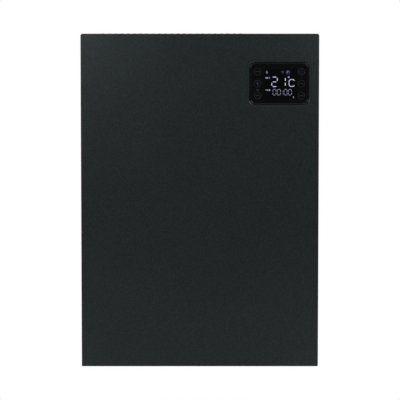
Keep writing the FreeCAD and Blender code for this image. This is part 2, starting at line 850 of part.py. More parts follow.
def outlet_grille():
    """A frame under the top sheet, with a rail on two posts that runs below its slats."""
    body = new_body("outlet_grille")
    under = f"({INNER_TOP} - grille_sheet)"
    frame_x, frame_y = widen(OUTLET_X, "grille_margin"), widen(OUTLET_Y, "grille_margin")
    rail_y = around(f"({OUTLET_FRONT} + {OUTLET_BACK}) / 2", "grille_rail / 2")
    rail_low = f"({SLATS_LOW} - grille_rail)"
    pad(body, "XY", under, INNER_TOP, rectangle(frame_x, frame_y))
    pocket(body, "XY", under, INNER_TOP, rectangle(SLATS_X, SLATS_Y),
           *[circle(x, y, "stud_radius + screw_clearance") for x, y in GRILLE_STUDS])
    pad(body, "XY", rail_low, under,
        rectangle((frame_x[0], SLATS_X[0]), rail_y), rectangle((SLATS_X[1], frame_x[1]), rail_y))
    pad(body, "XY", rail_low, SLATS_LOW, rectangle(SLATS_X, rail_y))


def outlet_slats():
    """Round-topped bars that stand on the rail and rise through the opening in the top."""
    count = int(value(BAR_COUNT))
    slats = []
    for number in range(count):
        middle = f"{FIRST_BAR} + {number} * ({LAST_BAR} - {FIRST_BAR}) / {count - 1}"
        body = doc.addObject("PartDesign::Body", "slat")
        pad(body, "XZ", *SLATS_Y, rounded(around(middle, "bar_width / 2"),
                                          (SLATS_LOW, f"{TOP} + bar_rise"), "bar_round"))
        slats.append(body)
    group("outlet_slats", slats)


def grille_nuts():
    span = (f"{INNER_TOP} - grille_sheet - nut_height", f"{INNER_TOP} - grille_sheet")
    group("grille_nuts", [nut("z", place, span, "nut_radius", "stud_radius") for place in GRILLE_STUDS])


# Touch control

BOSSES = [
    (f"{WINDOW_X} {i} ({GLASS_HALF_WIDTH} - boss_inset + bezel_rim)",
     f"{WINDOW_Z} {k} ({GLASS_HALF_HEIGHT} - boss_inset + bezel_rim)")
    for i in "-+" for k in "-+"
]


def control_shape(margin, radius):
    """A rounded rectangle about the control's middle, set off from the glass by a margin."""
    return rounded(around(WINDOW_X, f"{GLASS_HALF_WIDTH} + {margin}"),
                   around(WINDOW_Z, f"{GLASS_HALF_HEIGHT} + {margin}"), radius)


def control_bezel():
    """A moulded frame: flange behind the front sheet, rim in the window, ledge for the glass."""
    body = new_body("control_bezel")
    pad(body, "XZ", INNER_FRONT, BEZEL_BACK,
        rounded(widen(WINDOW_SPAN_X, "bezel_flange"), widen(WINDOW_SPAN_Z, "bezel_flange"), "window_radius"))
    pad(body, "XZ", RIM_FRONT, INNER_FRONT, control_shape("bezel_rim", f"{GLASS_ROUND} + bezel_rim"))
    chamfer(body, "bezel_edge", y=(RIM_FRONT, RIM_FRONT))
    pad(body, "XZ", BEZEL_BACK, DISPLAY_BOARD_FRONT, *[circle(x, z, "boss_radius") for x, z in BOSSES])
    pocket(body, "XZ", RIM_FRONT, GLASS_BACK, control_shape("glass_clearance", GLASS_ROUND))
    pocket(body, "XZ", GLASS_BACK, BEZEL_BACK, control_shape("(-bezel_ledge)", GLASS_ROUND))
    pocket(body, "XZ", INNER_FRONT, BEZEL_BACK,
           *[circle(x, z, "stud_radius + screw_clearance") for x, z in BEZEL_STUDS])
    pocket(body, "XZ", f"{DISPLAY_BOARD_BACK} - small_screw_length", DISPLAY_BOARD_FRONT,
           *[circle(x, z, "small_screw_radius + screw_fit") for x, z in BOSSES])


def bezel_nuts():
    span = (BEZEL_BACK, f"{BEZEL_BACK} + nut_height")
    group("bezel_nuts", [nut("y", place, span, "nut_radius", "stud_radius") for place in BEZEL_STUDS])


def control_glass():
    body = new_body("control_glass")
    pad(body, "XZ", GLASS_FRONT, GLASS_BACK, control_shape("0", GLASS_ROUND))
    chamfer(body, "glass_edge", y=(GLASS_FRONT, GLASS_FRONT))


def display_board():
    body = new_body("display_board")
    pad(body, "XZ", DISPLAY_BOARD_FRONT, DISPLAY_BOARD_BACK,
        control_shape("display_board_margin", "boss_radius"))
    pocket(body, "XZ", DISPLAY_BOARD_FRONT, DISPLAY_BOARD_BACK,
           *[circle(x, z, "small_screw_radius + screw_clearance") for x, z in BOSSES])
    group("display_board_screws", [small_screw("y", place, DISPLAY_BOARD_BACK, "-") for place in BOSSES])


def display_parts():
    """What stands on the display board: the lit display, six touch pads, the radio and the buzzer."""
    keep(block(around(f"{WINDOW_X} + display_shift", "display_width / 2"),
               (f"{GLASS_BACK} + display_gap", DISPLAY_BOARD_FRONT),
               around(f"{WINDOW_Z} - display_drop", "display_height / 2")), "display_module")
    keys = [(f"{WINDOW_X} {i} key_column", f"{WINDOW_Z} + {row} * key_pitch")
            for i in "-+" for row in (-1, 0, 1)]
    group("touch_pads", [rod("y", key, (GLASS_BACK, DISPLAY_BOARD_FRONT), "key_pad_radius") for key in keys])
    keep(block(around(f"{WINDOW_X} - radio_side", "radio_width / 2"),
               (DISPLAY_BOARD_BACK, f"{DISPLAY_BOARD_BACK} + radio_thick"),
               around(WINDOW_Z, "radio_height / 2")), "wifi_module")
    keep(rod("y", (f"{WINDOW_X} + buzzer_side", WINDOW_Z),
             (DISPLAY_BOARD_BACK, f"{DISPLAY_BOARD_BACK} + buzzer_height"), "buzzer_radius"), "buzzer")


# Partition and heating element

CUTOUT_EARS = [f"{ELEMENT_Y} {i} {CUTOUT_SCREW_OUT}" for i in "-+"]


def partition_plate():
    """An upright plate between the warm chamber and the electronics, which carries the element."""
    body = new_body("partition_plate")
    left, right, flange = f"{PLATE_X} - plate_sheet", PLATE_X, f"{PLATE_X} + plate_flange"
    front, fold = f"{INNER_FRONT} + plate_gap", f"{INNER_BACK} - plate_sheet"
    pad(body, "XY", PLATE_LOW, PLATE_HIGH, outline(
        (left, front), (right, front), (right, fold), (flange, fold), (flange, INNER_BACK), (left, INNER_BACK)))
    pocket(body, "YZ", left, right,
           *[circle(ELEMENT_Y, height, f"{BUSH_NECK} + bush_fit") for height in TUBE_HEIGHTS],
           circle(ELEMENT_Y, CUTOUT_Z, "cutout_radius + screw_clearance"),
           *[circle(ear, CUTOUT_Z, "small_screw_radius + screw_fit") for ear in CUTOUT_EARS])
    pocket(body, "XZ", fold, INNER_BACK, *pilot_holes("partition_screws"))


def element_bracket():
    body = new_body("element_bracket")
    left, right, flange = f"{BRACKET_X} - plate_sheet", BRACKET_X, f"{BRACKET_X} + plate_flange"
    front, fold = f"{ELEMENT_Y} - bracket_overhang", f"{INNER_BACK} - plate_sheet"
    height = around(ELEMENT_Z, "tube_pitch / 2 + bracket_overhang")
    pad(body, "XY", *height, outline(
        (left, front), (right, front), (right, fold), (flange, fold), (flange, INNER_BACK), (left, INNER_BACK)))
    pocket(body, "YZ", left, right,
           *[circle(ELEMENT_Y, tube, f"{BUSH_NECK} + bush_fit") for tube in TUBE_HEIGHTS])
    pocket(body, "XZ", fold, INNER_BACK, *pilot_holes("element_bracket_screws"))


def element_tube():
    """A sheathed element bent once into a hairpin, with both ends at the electronics side."""
    runs = [rod("x", (ELEMENT_Y, height), (BEND_X, TUBE_END), "tube_radius") for height in TUBE_HEIGHTS]
    bend = doc.addObject("Part::Torus", "bend")
    bend.setExpression("Radius1", bound("tube_pitch / 2"))
    bend.setExpression("Radius2", bound("tube_radius"))
    bend.Angle3 = 180
    upright = Rotation(Vector(1, 0, 0), 90).multiply(Rotation(Vector(0, 0, 1), 90))
    bend.Placement = FreeCAD.Placement(Vector(), upright)
    for axis, formula in (("x", BEND_X), ("y", ELEMENT_Y), ("z", ELEMENT_Z)):
        bend.setExpression(f"Placement.Base.{axis}", bound(formula))
    keep(fuse(*runs, bend), "element_tube")


def element_fins():
    """Thin plates in a row on both runs of the tube; the row fills the room between the supports."""
    first = f"({BRACKET_X} + bush_thick + fin_end_gap)"
    last = f"({PLATE_X} - plate_sheet - bush_thick - fin_end_gap - fin_thick)"
    steps = int(value(f"({last} - {first}) / fin_pitch"))
    plates = []
    for step in range(steps + 1):
        start = f"{first} + {step} * fin_pitch"
        plate = block((start, f"{start} + fin_thick"), around(ELEMENT_Y, "fin_depth / 2"),
                      around(ELEMENT_Z, "fin_height / 2"))
        holes = [rod("x", (ELEMENT_Y, height), (start, f"{start} + fin_thick"), "tube_radius + fin_fit")
                 for height in TUBE_HEIGHTS]
        plates.append(cut(plate, *holes))
    group("element_fins", plates)


def element_bushes():
    """Grooved ceramic bushes that hold the tube in the bracket and in the partition."""
    bushes = []
    for right in (BRACKET_X, PLATE_X):
        left = f"({right} - plate_sheet)"
        span = (f"{left} - bush_thick", f"{right} + bush_thick")
        for height in TUBE_HEIGHTS:
            place = (ELEMENT_Y, height)
            collars = [rod("x", place, side, f"{BUSH_NECK} + bush_collar")
                       for side in ((span[0], left), (right, span[1]))]
            body = fuse(rod("x", place, span, BUSH_NECK), *collars)
            bushes.append(cut(body, rod("x", place, span, "tube_radius + fin_fit")))
    group("element_bushes", bushes)


def element_terminals():
    beads = []
    pins = []
    for height in TUBE_HEIGHTS:
        place = (ELEMENT_Y, height)
        bead_span = (TUBE_END, f"{TUBE_END} + terminal_length")
        bead = rod("x", place, bead_span, "terminal_radius")
        beads.append(cut(bead, rod("x", place, bead_span, "terminal_pin + screw_fit")))
        pins.append(rod("x", place, (TUBE_END, f"{bead_span[1]} + terminal_reach"), "terminal_pin"))
    group("terminal_insulators", beads)
    group("terminal_pins", pins)


def heat_reflector():
    """A bright sheet behind the element, stood off the rear panel by its folded feet."""
    body = new_body("heat_reflector")
    low, high, foot = REFLECTOR_LOW, REFLECTOR_HIGH, "reflector_foot"
    seat, face = INNER_BACK, f"({INNER_BACK} - reflector_lift)"
    skin = "reflector_sheet"
    pad(body, "YZ", REFLECTOR_LEFT, REFLECTOR_RIGHT, outline(
        (seat, f"{low} - {foot}"), (seat, f"{low} + {skin}"), (face, f"{low} + {skin}"),
        (face, f"{high} - {skin}"), (seat, f"{high} - {skin}"), (seat, f"{high} + {foot}"),
        (f"{seat} - {skin}", f"{high} + {foot}"), (f"{seat} - {skin}", high), (f"{face} - {skin}", high),
        (f"{face} - {skin}", low), (f"{seat} - {skin}", low), (f"{seat} - {skin}", f"{low} - {foot}")))
    pocket(body, "XZ", f"{seat} - {skin}", seat, *pilot_holes("reflector_screws"))


def thermal_cutout():
    """A disc cut-out whose can looks through the partition at the warm air."""
    place = (ELEMENT_Y, CUTOUT_Z)
    flange_top = f"({PLATE_X} + cutout_flange)"
    body_top = f"({flange_top} + cutout_body)"
    can = rod("x", place, (f"{PLATE_X} - plate_sheet - cutout_reach", PLATE_X), "cutout_radius")
    ears = block((PLATE_X, flange_top), around(ELEMENT_Y, f"{CUTOUT_SCREW_OUT} + cutout_ear_end"),
                 around(CUTOUT_Z, "cutout_ear_half"))
    holes = [rod("x", (ear, CUTOUT_Z), (PLATE_X, flange_top), "small_screw_radius + screw_clearance")
             for ear in CUTOUT_EARS]
    middle = rod("x", place, (flange_top, body_top),
                 f"{CUTOUT_SCREW_OUT} - small_head_radius - screw_clearance")
    tabs = [block((body_top, f"{body_top} + tab_length"), around(ELEMENT_Y, "tab_width / 2"),
                  around(f"{CUTOUT_Z} {i} cutout_tab_gap / 2", "tab_thick / 2")) for i in "-+"]
    keep(fuse(can, cut(ears, *holes), middle, *tabs), "thermal_cutout")
    group("cutout_screws", [small_screw("x", (ear, CUTOUT_Z), flange_top, "-") for ear in CUTOUT_EARS])


# Power electronics

def on_board(side, up):
    return f"({BOARD_LEFT} + {side})", f"({BOARD_LOW} + {up})"


def board_part(side, up, width, height, depth):
    """A box that stands on the front of the power board."""
    x, z = on_board(side, up)
    return block((x, f"{x} + {width}"), (f"{BOARD_FRONT} - {depth}", BOARD_FRONT), (z, f"{z} + {height}"))


def board_mounting():
    """The power board on four pillars, with an insulating sheet behind it."""
    pillars = []
    for place in STANDOFFS:
        pillar = rod("y", place, (BOARD_BACK, INNER_BACK), "standoff_radius")
        rear_hole = rod("y", place, (f"{BACK} - screw_length", INNER_BACK), PILOT)
        front_hole = rod("y", place, (BOARD_BACK, f"{BOARD_FRONT} + small_screw_length"),
                         "small_screw_radius + screw_fit")
        pillars.append(cut(pillar, rear_hole, front_hole))
    group("board_standoffs", pillars)
    x = (BOARD_LEFT, BOARD_RIGHT)
    z = (BOARD_LOW, BOARD_HIGH)
    body = new_body("power_board")
    pad(body, "XZ", BOARD_FRONT, BOARD_BACK, rectangle(x, z))
    pocket(body, "XZ", BOARD_FRONT, BOARD_BACK,
           *[circle(*place, "small_screw_radius + screw_clearance") for place in STANDOFFS])
    group("power_board_screws", [small_screw("y", place, BOARD_FRONT, "+") for place in STANDOFFS])
    sheet = new_body("insulator_sheet")
    insulator_front = f"{INNER_BACK} - insulator_thick"
    pad(sheet, "XZ", insulator_front, INNER_BACK,
        rectangle(widen(x, "insulator_margin"), widen(z, "insulator_margin")))
    pocket(sheet, "XZ", insulator_front, INNER_BACK,
           *[circle(*place, "standoff_radius + screw_clearance") for place in STANDOFFS])


def board_components():
    group("relays", [board_part(f"relay_side + {i} * relay_pitch", "relay_up",
                                "relay_width", "relay_height", "relay_depth") for i in (0, 1)])
    keep(board_part("block_side", "block_up", "block_width", "block_height", "block_depth"), "terminal_block")
    keep(board_part("transformer_side", "transformer_up", "transformer_width",
                    "transformer_height", "transformer_depth"), "supply_transformer")
    cans = [on_board(f"capacitor_side + {i} * capacitor_pitch", "capacitor_up") for i in (0, 1)]
    group("capacitors", [rod("y", place, (f"{BOARD_FRONT} - capacitor_height", BOARD_FRONT),
                             "capacitor_radius") for place in cans])


def fuse_tube():
    """A glass tube fuse with a metal cap at each end, lying on the board."""
    x, z = on_board("fuse_side", "fuse_up")
    place = (f"{BOARD_FRONT} - fuse_cap_radius", z)
    end = f"{x} + fuse_length"
    keep(fuse(rod("x", place, (x, end), "fuse_radius"),
              rod("x", place, (x, f"{x} + fuse_cap"), "fuse_cap_radius"),
              rod("x", place, (f"{end} - fuse_cap", end), "fuse_cap_radius")), "mains_fuse")


def signal_link():
    """A flat ribbon from the display board to the power board, with a plug at each end."""
    upper_z = f"({WINDOW_Z} - {GLASS_HALF_HEIGHT} + plug_end)"
    lower_z = f"({BOARD_HIGH} - plug_end)"
    upper_end = f"({DISPLAY_BOARD_BACK} + plug_depth)"
    lower_end = f"({BOARD_FRONT} - plug_depth)"
    x = around(WINDOW_X, "plug_width / 2")
    sensor_x, sensor_z = on_board("sensor_plug_side", "sensor_plug_up")
    group("signal_connectors", [
        block(x, (DISPLAY_BOARD_BACK, upper_end), around(upper_z, "plug_height / 2")),
        block(x, (lower_end, BOARD_FRONT), around(lower_z, "plug_height / 2")),
        block(around(sensor_x, "plug_height / 2"), (f"{BOARD_FRONT} - plug_height", BOARD_FRONT),
              around(sensor_z, "plug_height / 2")),
    ])
    body = new_body("signal_cable")
    half = "ribbon_thick / 2"
    drop = f"({upper_end} + ribbon_setback)"
    pad(body, "YZ", *around(WINDOW_X, "ribbon_width / 2"), outline(
        (upper_end, f"{upper_z} - {half}"), (f"{drop} - {half}", f"{upper_z} - {half}"),
        (f"{drop} - {half}", f"{lower_z} - {half}"), (lower_end, f"{lower_z} - {half}"),
        (lower_end, f"{lower_z} + {half}"), (f"{drop} + {half}", f"{lower_z} + {half}"),
        (f"{drop} + {half}", f"{upper_z} + {half}"), (upper_end, f"{upper_z} + {half}")))
    inner_bends = (("-", upper_z), ("+", lower_z))
    for sign, bend_z in inner_bends:
        other = "+" if sign == "-" else "-"
        inside = (f"{drop} {sign} {half}", f"{bend_z} {sign} {half}")
        outside = (f"{drop} {other} {half}", f"{bend_z} {other} {half}")
        fillet(body, "ribbon_bend", y=(inside[0], inside[0]), z=(inside[1], inside[1]))
        fillet(body, "ribbon_bend + ribbon_thick", y=(outside[0], outside[0]), z=(outside[1], outside[1]))


# Mains switch, cable entry, sensor and earth

def switch_housing():
    flange_low = f"({BOTTOM} - switch_flange)"
    body_x = around(SWITCH_X, SWITCH_HALF_LENGTH)
    body_y = around(ENTRY_Y, SWITCH_HALF_WIDTH)
    flange = block(widen(body_x, "switch_rim"), widen(body_y, "switch_rim"), (flange_low, BOTTOM))
    barbs = block(widen(body_x, "switch_barb"), around(ENTRY_Y, f"{SWITCH_HALF_WIDTH} / 2"),
                  (INNER_BOTTOM, f"{INNER_BOTTOM} + switch_barb_rise"))
    cavity = block(around(SWITCH_X, "rocker_length / 2 + rocker_gap"),
                   around(ENTRY_Y, "rocker_width / 2 + rocker_side_gap"),
                   (flange_low, f"{PIVOT_Z} + rocker_room"))
    pivots = rod("y", (SWITCH_X, PIVOT_Z),
                 around(ENTRY_Y, "rocker_width / 2 + pivot_length + pivot_fit"), "pivot_radius + pivot_fit")
    case = fuse(flange, block(body_x, body_y, (BOTTOM, SWITCH_TOP)), barbs)
    keep(cut(case, cavity, pivots), "switch_housing")
    tabs = [block(around(f"{SWITCH_X} {i} switch_tab_at", "tab_thick / 2"), around(ENTRY_Y, "tab_width / 2"),
                  (SWITCH_TOP, f"{SWITCH_TOP} + tab_length")) for i in "-+"]
    group("switch_terminals", tabs)


def switch_rocker():
    """A rocker with a shallow valley, drawn level about its pivot and then tilted to its on position."""
    body = new_body("switch_rocker")
    half = "rocker_length / 2"
    side = around("0", "rocker_width / 2")
    pad(body, "XZ", *side, outline(
        (f"-{half}", "rocker_root"), (f"-{half}", "-rocker_edge"), ("0", "-rocker_valley"),
        (half, "-rocker_edge"), (half, "rocker_root")))
    fillet(body, "rocker_round", x=(f"-{half}", f"-{half}"), z=("-rocker_edge", "-rocker_edge"))
    fillet(body, "rocker_round", x=(half, half), z=("-rocker_edge", "-rocker_edge"))
    pad(body, "XZ", *around("0", "rocker_width / 2 + pivot_length"), circle("0", "0", "pivot_radius"))
    body.Placement = FreeCAD.Placement(Vector(), Rotation(Vector(0, 1, 0), value("rocker_tilt")))
    for axis, formula in (("x", SWITCH_X), ("y", ENTRY_Y), ("z", PIVOT_Z)):
        body.setExpression(f"Placement.Base.{axis}", bound(formula))
    body.setExpression("Placement.Rotation.Angle", bound("rocker_tilt"))


def cable_gland():
    """A low gland in the underside: body, sealing ring, cap and locknut, with no cord in it."""
    place = (GLAND_X, ENTRY_Y)
    flange_low = f"({BOTTOM} - gland_flange)"
    collar_low = f"({flange_low} - gland_collar_length)"
    cap_low = f"({collar_low} - gland_cap_end)"
    nut_top = f"({INNER_BOTTOM} + gland_nut)"
    neck_top = f"({nut_top} + gland_neck_tip)"
    seal_span = (collar_low, BOTTOM)
    solid = fuse(hexagon("z", place, (flange_low, BOTTOM), f"{GLAND_NECK} + gland_flange_rim"),
                 rod("z", place, (BOTTOM, neck_top), GLAND_NECK),
                 rod("z", place, (collar_low, flange_low), GLAND_COLLAR))
    keep(cut(solid, rod("z", place, (collar_low, neck_top), GLAND_BORE)), "gland_body")
    ring = rod("z", place, seal_span, "cord_radius + seal_wall")
    keep(cut(ring, rod("z", place, seal_span, "cord_radius")), "gland_seal")
    cap = rod("z", place, (cap_low, flange_low), f"{GLAND_COLLAR} + gland_fit + gland_cap_wall")
    socket = rod("z", place, (collar_low, flange_low), f"{GLAND_COLLAR} + gland_fit")
    mouth = rod("z", place, (cap_low, collar_low), "cord_radius + gland_mouth_gap")
    keep(cut(cap, socket, mouth), "gland_cap")
    nut_radius = f"{GLAND_NECK} + gland_nut_wall"
    keep(nut("z", place, (INNER_BOTTOM, nut_top), nut_radius, GLAND_NECK), "gland_locknut")


def room_sensor():
    """A sensor bulb in a clip on the floor of the case, away from the warm chamber."""
    place = (SENSOR_X, SENSOR_Z)
    span = around(SENSOR_Y, "clip_length / 2")
    clip = block(around(SENSOR_X, "clip_width / 2"), span, (INNER_BOTTOM, f"{INNER_BOTTOM} + clip_height"))
    keep(cut(clip, rod("y", place, span, "sensor_radius + sensor_fit")), "sensor_clip")
    keep(rod("y", place, around(SENSOR_Y, "sensor_length / 2"), "sensor_radius"), "room_sensor")


def earth_point():
    place = (EARTH_X, EARTH_Z)
    base_front = f"({INNER_BACK} - earth_base)"
    nut_front = f"({base_front} - earth_nut_height)"
    keep(fuse(rod("y", place, (base_front, INNER_BACK), "earth_base_radius"),
              rod("y", place, (f"{INNER_BACK} - earth_length", INNER_BACK), "earth_radius")), "earth_stud")
    keep(nut("y", place, (nut_front, base_front), "earth_nut_radius", "earth_radius"), "earth_nut")


# Wires, as straight runs joined by tangent arcs

ARC_SHARE = 0.45
VOLUME_TOLERANCE = 0.01


def wire_path(corners):
    edges = []
    start = corners[0]
    for before, corner, after in zip(corners, corners[1:], corners[2:]):
        back, ahead = before - corner, after - corner
        reach = ARC_SHARE * min(back.Length, ahead.Length)
        half_turn = (math.pi - back.getAngle(ahead)) / 2
        radius = reach / math.tan(half_turn)
        back.normalize()
        ahead.normalize()
        inward = (back + ahead).normalize()
        middle = corner + inward * (radius / math.cos(half_turn) - radius)
        edges.append(Part.LineSegment(start, corner + back * reach).toShape())
        edges.append(Part.Arc(corner + back * reach, middle, corner + ahead * reach).toShape())
        start = corner + ahead * reach
    edges.append(Part.LineSegment(start, corners[-1]).toShape())
    return Part.Wire(edges)


def wire(corners, radius):
    """A round wire along a route; its volume has to be its section times its length."""
    path = wire_path([point(*corner) for corner in corners])
    first = path.Edges[0]
    section = Part.Circle(first.valueAt(first.FirstParameter), first.tangentAt(first.FirstParameter), radius)
    solid = path.makePipeShell([Part.Wire(section.toShape())], True, False)
    expected = math.pi * radius ** 2 * path.Length
    if abs(solid.Volume - expected) > VOLUME_TOLERANCE * expected:
        raise RuntimeError("a wire's volume is not its section times its length")
    return solid


def wires(label, routes, radius):
    piece = doc.addObject("Part::Feature", label)
    solids = [wire(route, value(radius)) for route in routes]
    piece.Shape = solids[0] if len(solids) == 1 else Part.makeCompound(solids)
    piece.Placement = FreeCAD.Placement()
    keep(piece, label)


def block_way(number):
    """The place under the terminal block where a wire goes in, counted from the left."""
    x, z = on_board(f"block_side + block_pitch / 2 + {number} * block_pitch", "block_up")
    return x, f"{BOARD_FRONT} - block_depth / 2", z


def shift(place, across="0", back="0", up="0"):
    return tuple(f"{start} + ({step})" for start, step in zip(place, (across, back, up)))


def power_leads():
    """Mains wires from the switch, the element and the cut-out to the terminal block."""
    pin_x = f"{TUBE_END} + terminal_length + terminal_reach"
    low_pin, high_pin = [(pin_x, ELEMENT_Y, height) for height in TUBE_HEIGHTS]
    tab_x = f"{PLATE_X} + cutout_flange + cutout_body + tab_length"
    low_tab, high_tab = [(tab_x, ELEMENT_Y, f"{CUTOUT_Z} {i} cutout_tab_gap / 2") for i in "-+"]
    switch_tab = (f"{SWITCH_X} + switch_tab_at", ENTRY_Y, f"{SWITCH_TOP} + tab_length")
    cutout_way, element_way, switch_way = block_way(0), block_way(1), block_way(3)
    wires("power_leads", [
        [high_tab, shift(high_tab, "lead_out"), shift(high_tab, "lead_out + lead_lean", up="lead_turn"),
         shift(cutout_way, up="-lead_turn"), cutout_way],
        [high_pin, shift(high_pin, "lead_out"), shift(high_pin, "lead_out + lead_lean", up="lead_turn"),
         shift(element_way, up="-lead_turn - lead_step"), element_way],
        [low_pin, shift(low_pin, "lead_out"), shift(low_pin, "lead_out", "-lead_forward", "lead_turn"),
         shift(low_tab, "lead_out", "-lead_forward", "-lead_turn"), shift(low_tab, "lead_out"), low_tab],
        [switch_tab, shift(switch_tab, up="lead_turn"), shift(switch_way, up="-switch_lead_drop"), switch_way],
    ], "lead_radius")


def earth_lead():
    stud = (EARTH_X, f"{INNER_BACK} - earth_length", EARTH_Z)
    way = block_way(4)
    wires("earth_lead", [
        [stud, shift(stud, back="-lead_out"), shift(stud, back="-lead_out - lead_lean", up="lead_turn"),
         shift(way, up="-lead_turn - lead_step"), way],
    ], "lead_radius")


def sensor_lead():
    bulb = (SENSOR_X, f"{SENSOR_Y} + sensor_length / 2", SENSOR_Z)
    x, z = on_board("sensor_plug_side", "sensor_plug_up")
    plug = (x, f"{BOARD_FRONT} - plug_height / 2", f"{z} - plug_height / 2")
    wires("sensor_lead", [
        [bulb, shift(bulb, back="lead_out"), shift(bulb, "lead_lean", "lead_out", "lead_turn"),
         shift(plug, back="-lead_out", up="-sensor_lead_drop"), shift(plug, up="-lead_turn"), plug],
    ], "sensor_lead_radius")


def check_document():
    doc.recompute()
    for piece in doc.Objects:
        if "Invalid" in piece.State or "Error" in piece.State:
            raise RuntimeError(f"{piece.Label} failed: {piece.State}")
    for piece in nodes:
        if piece.Shape.isNull() or not piece.Shape.isValid() or not piece.Shape.Solids:
            raise RuntimeError(f"{piece.Label} is not a valid solid")


def write_parts():
    os.makedirs("parts", exist_ok=True)
    for piece in nodes:
        piece.Shape.exportStep(os.path.join("parts", f"{piece.Label}.step"))
        print(piece.Label, len(piece.Shape.Solids), round(piece.Shape.Volume, 1))


fill_sheet()
front_panel()
rear_panel()
outlet_grille()
outlet_slats()
grille_nuts()
rear_screw_groups()
wall_bracket()
wall_bumpers()
control_bezel()
bezel_nuts()
control_glass()
display_board()
display_parts()
partition_plate()
element_bracket()
element_tube()
element_fins()
element_bushes()
element_terminals()
heat_reflector()
thermal_cutout()
board_mounting()
board_components()
fuse_tube()
signal_link()
switch_housing()
switch_rocker()
cable_gland()
room_sensor()
earth_point()
power_leads()
earth_lead()
sensor_lead()
check_document()
write_parts()
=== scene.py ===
import json
import math

import bmesh
import bpy
from mathutils import Matrix, Vector


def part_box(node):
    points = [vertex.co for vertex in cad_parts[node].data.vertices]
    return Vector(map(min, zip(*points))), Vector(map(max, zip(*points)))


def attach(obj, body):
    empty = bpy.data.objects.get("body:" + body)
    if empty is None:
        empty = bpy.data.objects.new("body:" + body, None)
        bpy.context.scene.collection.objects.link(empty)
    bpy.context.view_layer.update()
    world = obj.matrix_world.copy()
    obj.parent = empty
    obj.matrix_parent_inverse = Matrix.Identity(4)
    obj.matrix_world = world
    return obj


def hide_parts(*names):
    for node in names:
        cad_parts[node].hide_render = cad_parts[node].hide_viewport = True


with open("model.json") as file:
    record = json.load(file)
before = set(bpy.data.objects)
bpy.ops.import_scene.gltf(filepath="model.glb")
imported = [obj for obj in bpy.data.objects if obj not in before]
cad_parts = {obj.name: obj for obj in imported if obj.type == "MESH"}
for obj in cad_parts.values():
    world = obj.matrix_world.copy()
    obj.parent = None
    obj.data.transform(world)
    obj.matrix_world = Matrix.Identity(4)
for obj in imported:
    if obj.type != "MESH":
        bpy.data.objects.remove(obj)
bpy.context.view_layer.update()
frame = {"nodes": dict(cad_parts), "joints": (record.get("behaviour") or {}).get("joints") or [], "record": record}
nodes = frame["nodes"]

MM = 0.001
scene = bpy.context.scene
PANEL_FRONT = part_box("front_panel")[0].y


# Camera: the photo looks at the front almost square on, from a little above its middle

PHOTO_SIDE = 400
FOCAL_PIXELS = 1326.6
SENSOR = 36.0
VIEW_DISTANCE = 2.4
VIEW_DROP = math.radians(2.95)
AIM_RIGHT = 0.00024
AIM_UP = 0.00185
CLIP_NEAR, CLIP_FAR = 0.05, 50


def make_camera():
    data = bpy.data.cameras.new("photo_camera")
    data.sensor_width = SENSOR
    data.lens = FOCAL_PIXELS * SENSOR / PHOTO_SIDE
    data.clip_start = CLIP_NEAR
    data.clip_end = CLIP_FAR
    camera = bpy.data.objects.new("photo_camera", data)
    scene.collection.objects.link(camera)
    ahead = VIEW_DISTANCE * math.cos(VIEW_DROP)
    camera.location = (0, PANEL_FRONT - ahead, VIEW_DISTANCE * math.sin(VIEW_DROP))
    aim = Vector((AIM_RIGHT, PANEL_FRONT, AIM_UP))
    camera.rotation_mode = "QUATERNION"
    camera.rotation_quaternion = (aim - camera.location).to_track_quat("-Z", "Y")
    scene.camera = camera


# Nodes that the world, the floor and the materials share

def math_node(tree, operation, first, second):
    """A value worked out from two others."""
    node = tree.nodes.new("ShaderNodeMath")
    node.operation = operation
    tree.links.new(first, node.inputs[0])
    tree.links.new(second, node.inputs[1])
    return node.outputs[0]


def map_range(tree, value, start, end, low, high):
    """A node that takes a value from the span start to end over to the span low to high."""
    node = tree.nodes.new("ShaderNodeMapRange")
    limits = {"From Min": start, "From Max": end, "To Min": low, "To Max": high}
    for socket, limit in limits.items():
        node.inputs[socket].default_value = limit
    tree.links.new(value, node.inputs["Value"])
    return node


def mix_shaders(tree, factor, first, second):
    """The first node's shader where the factor is 0, the second's where it is 1."""
    node = tree.nodes.new("ShaderNodeMixShader")
    tree.links.new(factor, node.inputs[0])
    tree.links.new(first.outputs[0], node.inputs[1])
    tree.links.new(second.outputs[0], node.inputs[2])
    return node


def mirrored_ray(tree, path):
    """1 for a ray that comes off a mirror or through glass."""
    return math_node(tree, "MAXIMUM", path["Is Glossy Ray"], path["Is Transmission Ray"])


# Light: a dim room in front, a white surround, soft boxes beyond the four corners, above and behind

AMBIENT = 0.13
ROOM_GLOSS = 0.08
ROOM_EDGE, WALL_EDGE = -0.3, 0.4
WHITE = (1.0, 1.0, 1.0)
WARM_WHITE = (1.0, 0.91, 0.78)

# Each lamp: its name, place, the point it faces, width and height in metres, power in watts and colour
LAMPS = (
    ("upper_left", (-0.385, -0.285, 0.455), (-0.05, PANEL_FRONT, 0.1), (0.36, 0.36), 3.4, WHITE),
    ("upper_right", (0.40, -0.225, 0.45), (0.04, PANEL_FRONT, 0.04), (0.20, 0.20), 1.75, WHITE),
    ("lower_left", (-0.46, -0.40, -0.58), (0, PANEL_FRONT, 0), (0.3, 0.3), 3.3, WHITE),
    ("lower_right", (0.46, -0.40, -0.58), (0, PANEL_FRONT, 0), (0.4, 0.4), 3.5, WHITE),
    ("top", (0.0, 0.035, 1.60), (0, 0.035, 0), (0.6, 0.28), 26, WARM_WHITE),
    ("back", (0.9, 2.0, 1.0), (0, 0, 0), (1.4, 1.4), 40, WHITE),
)


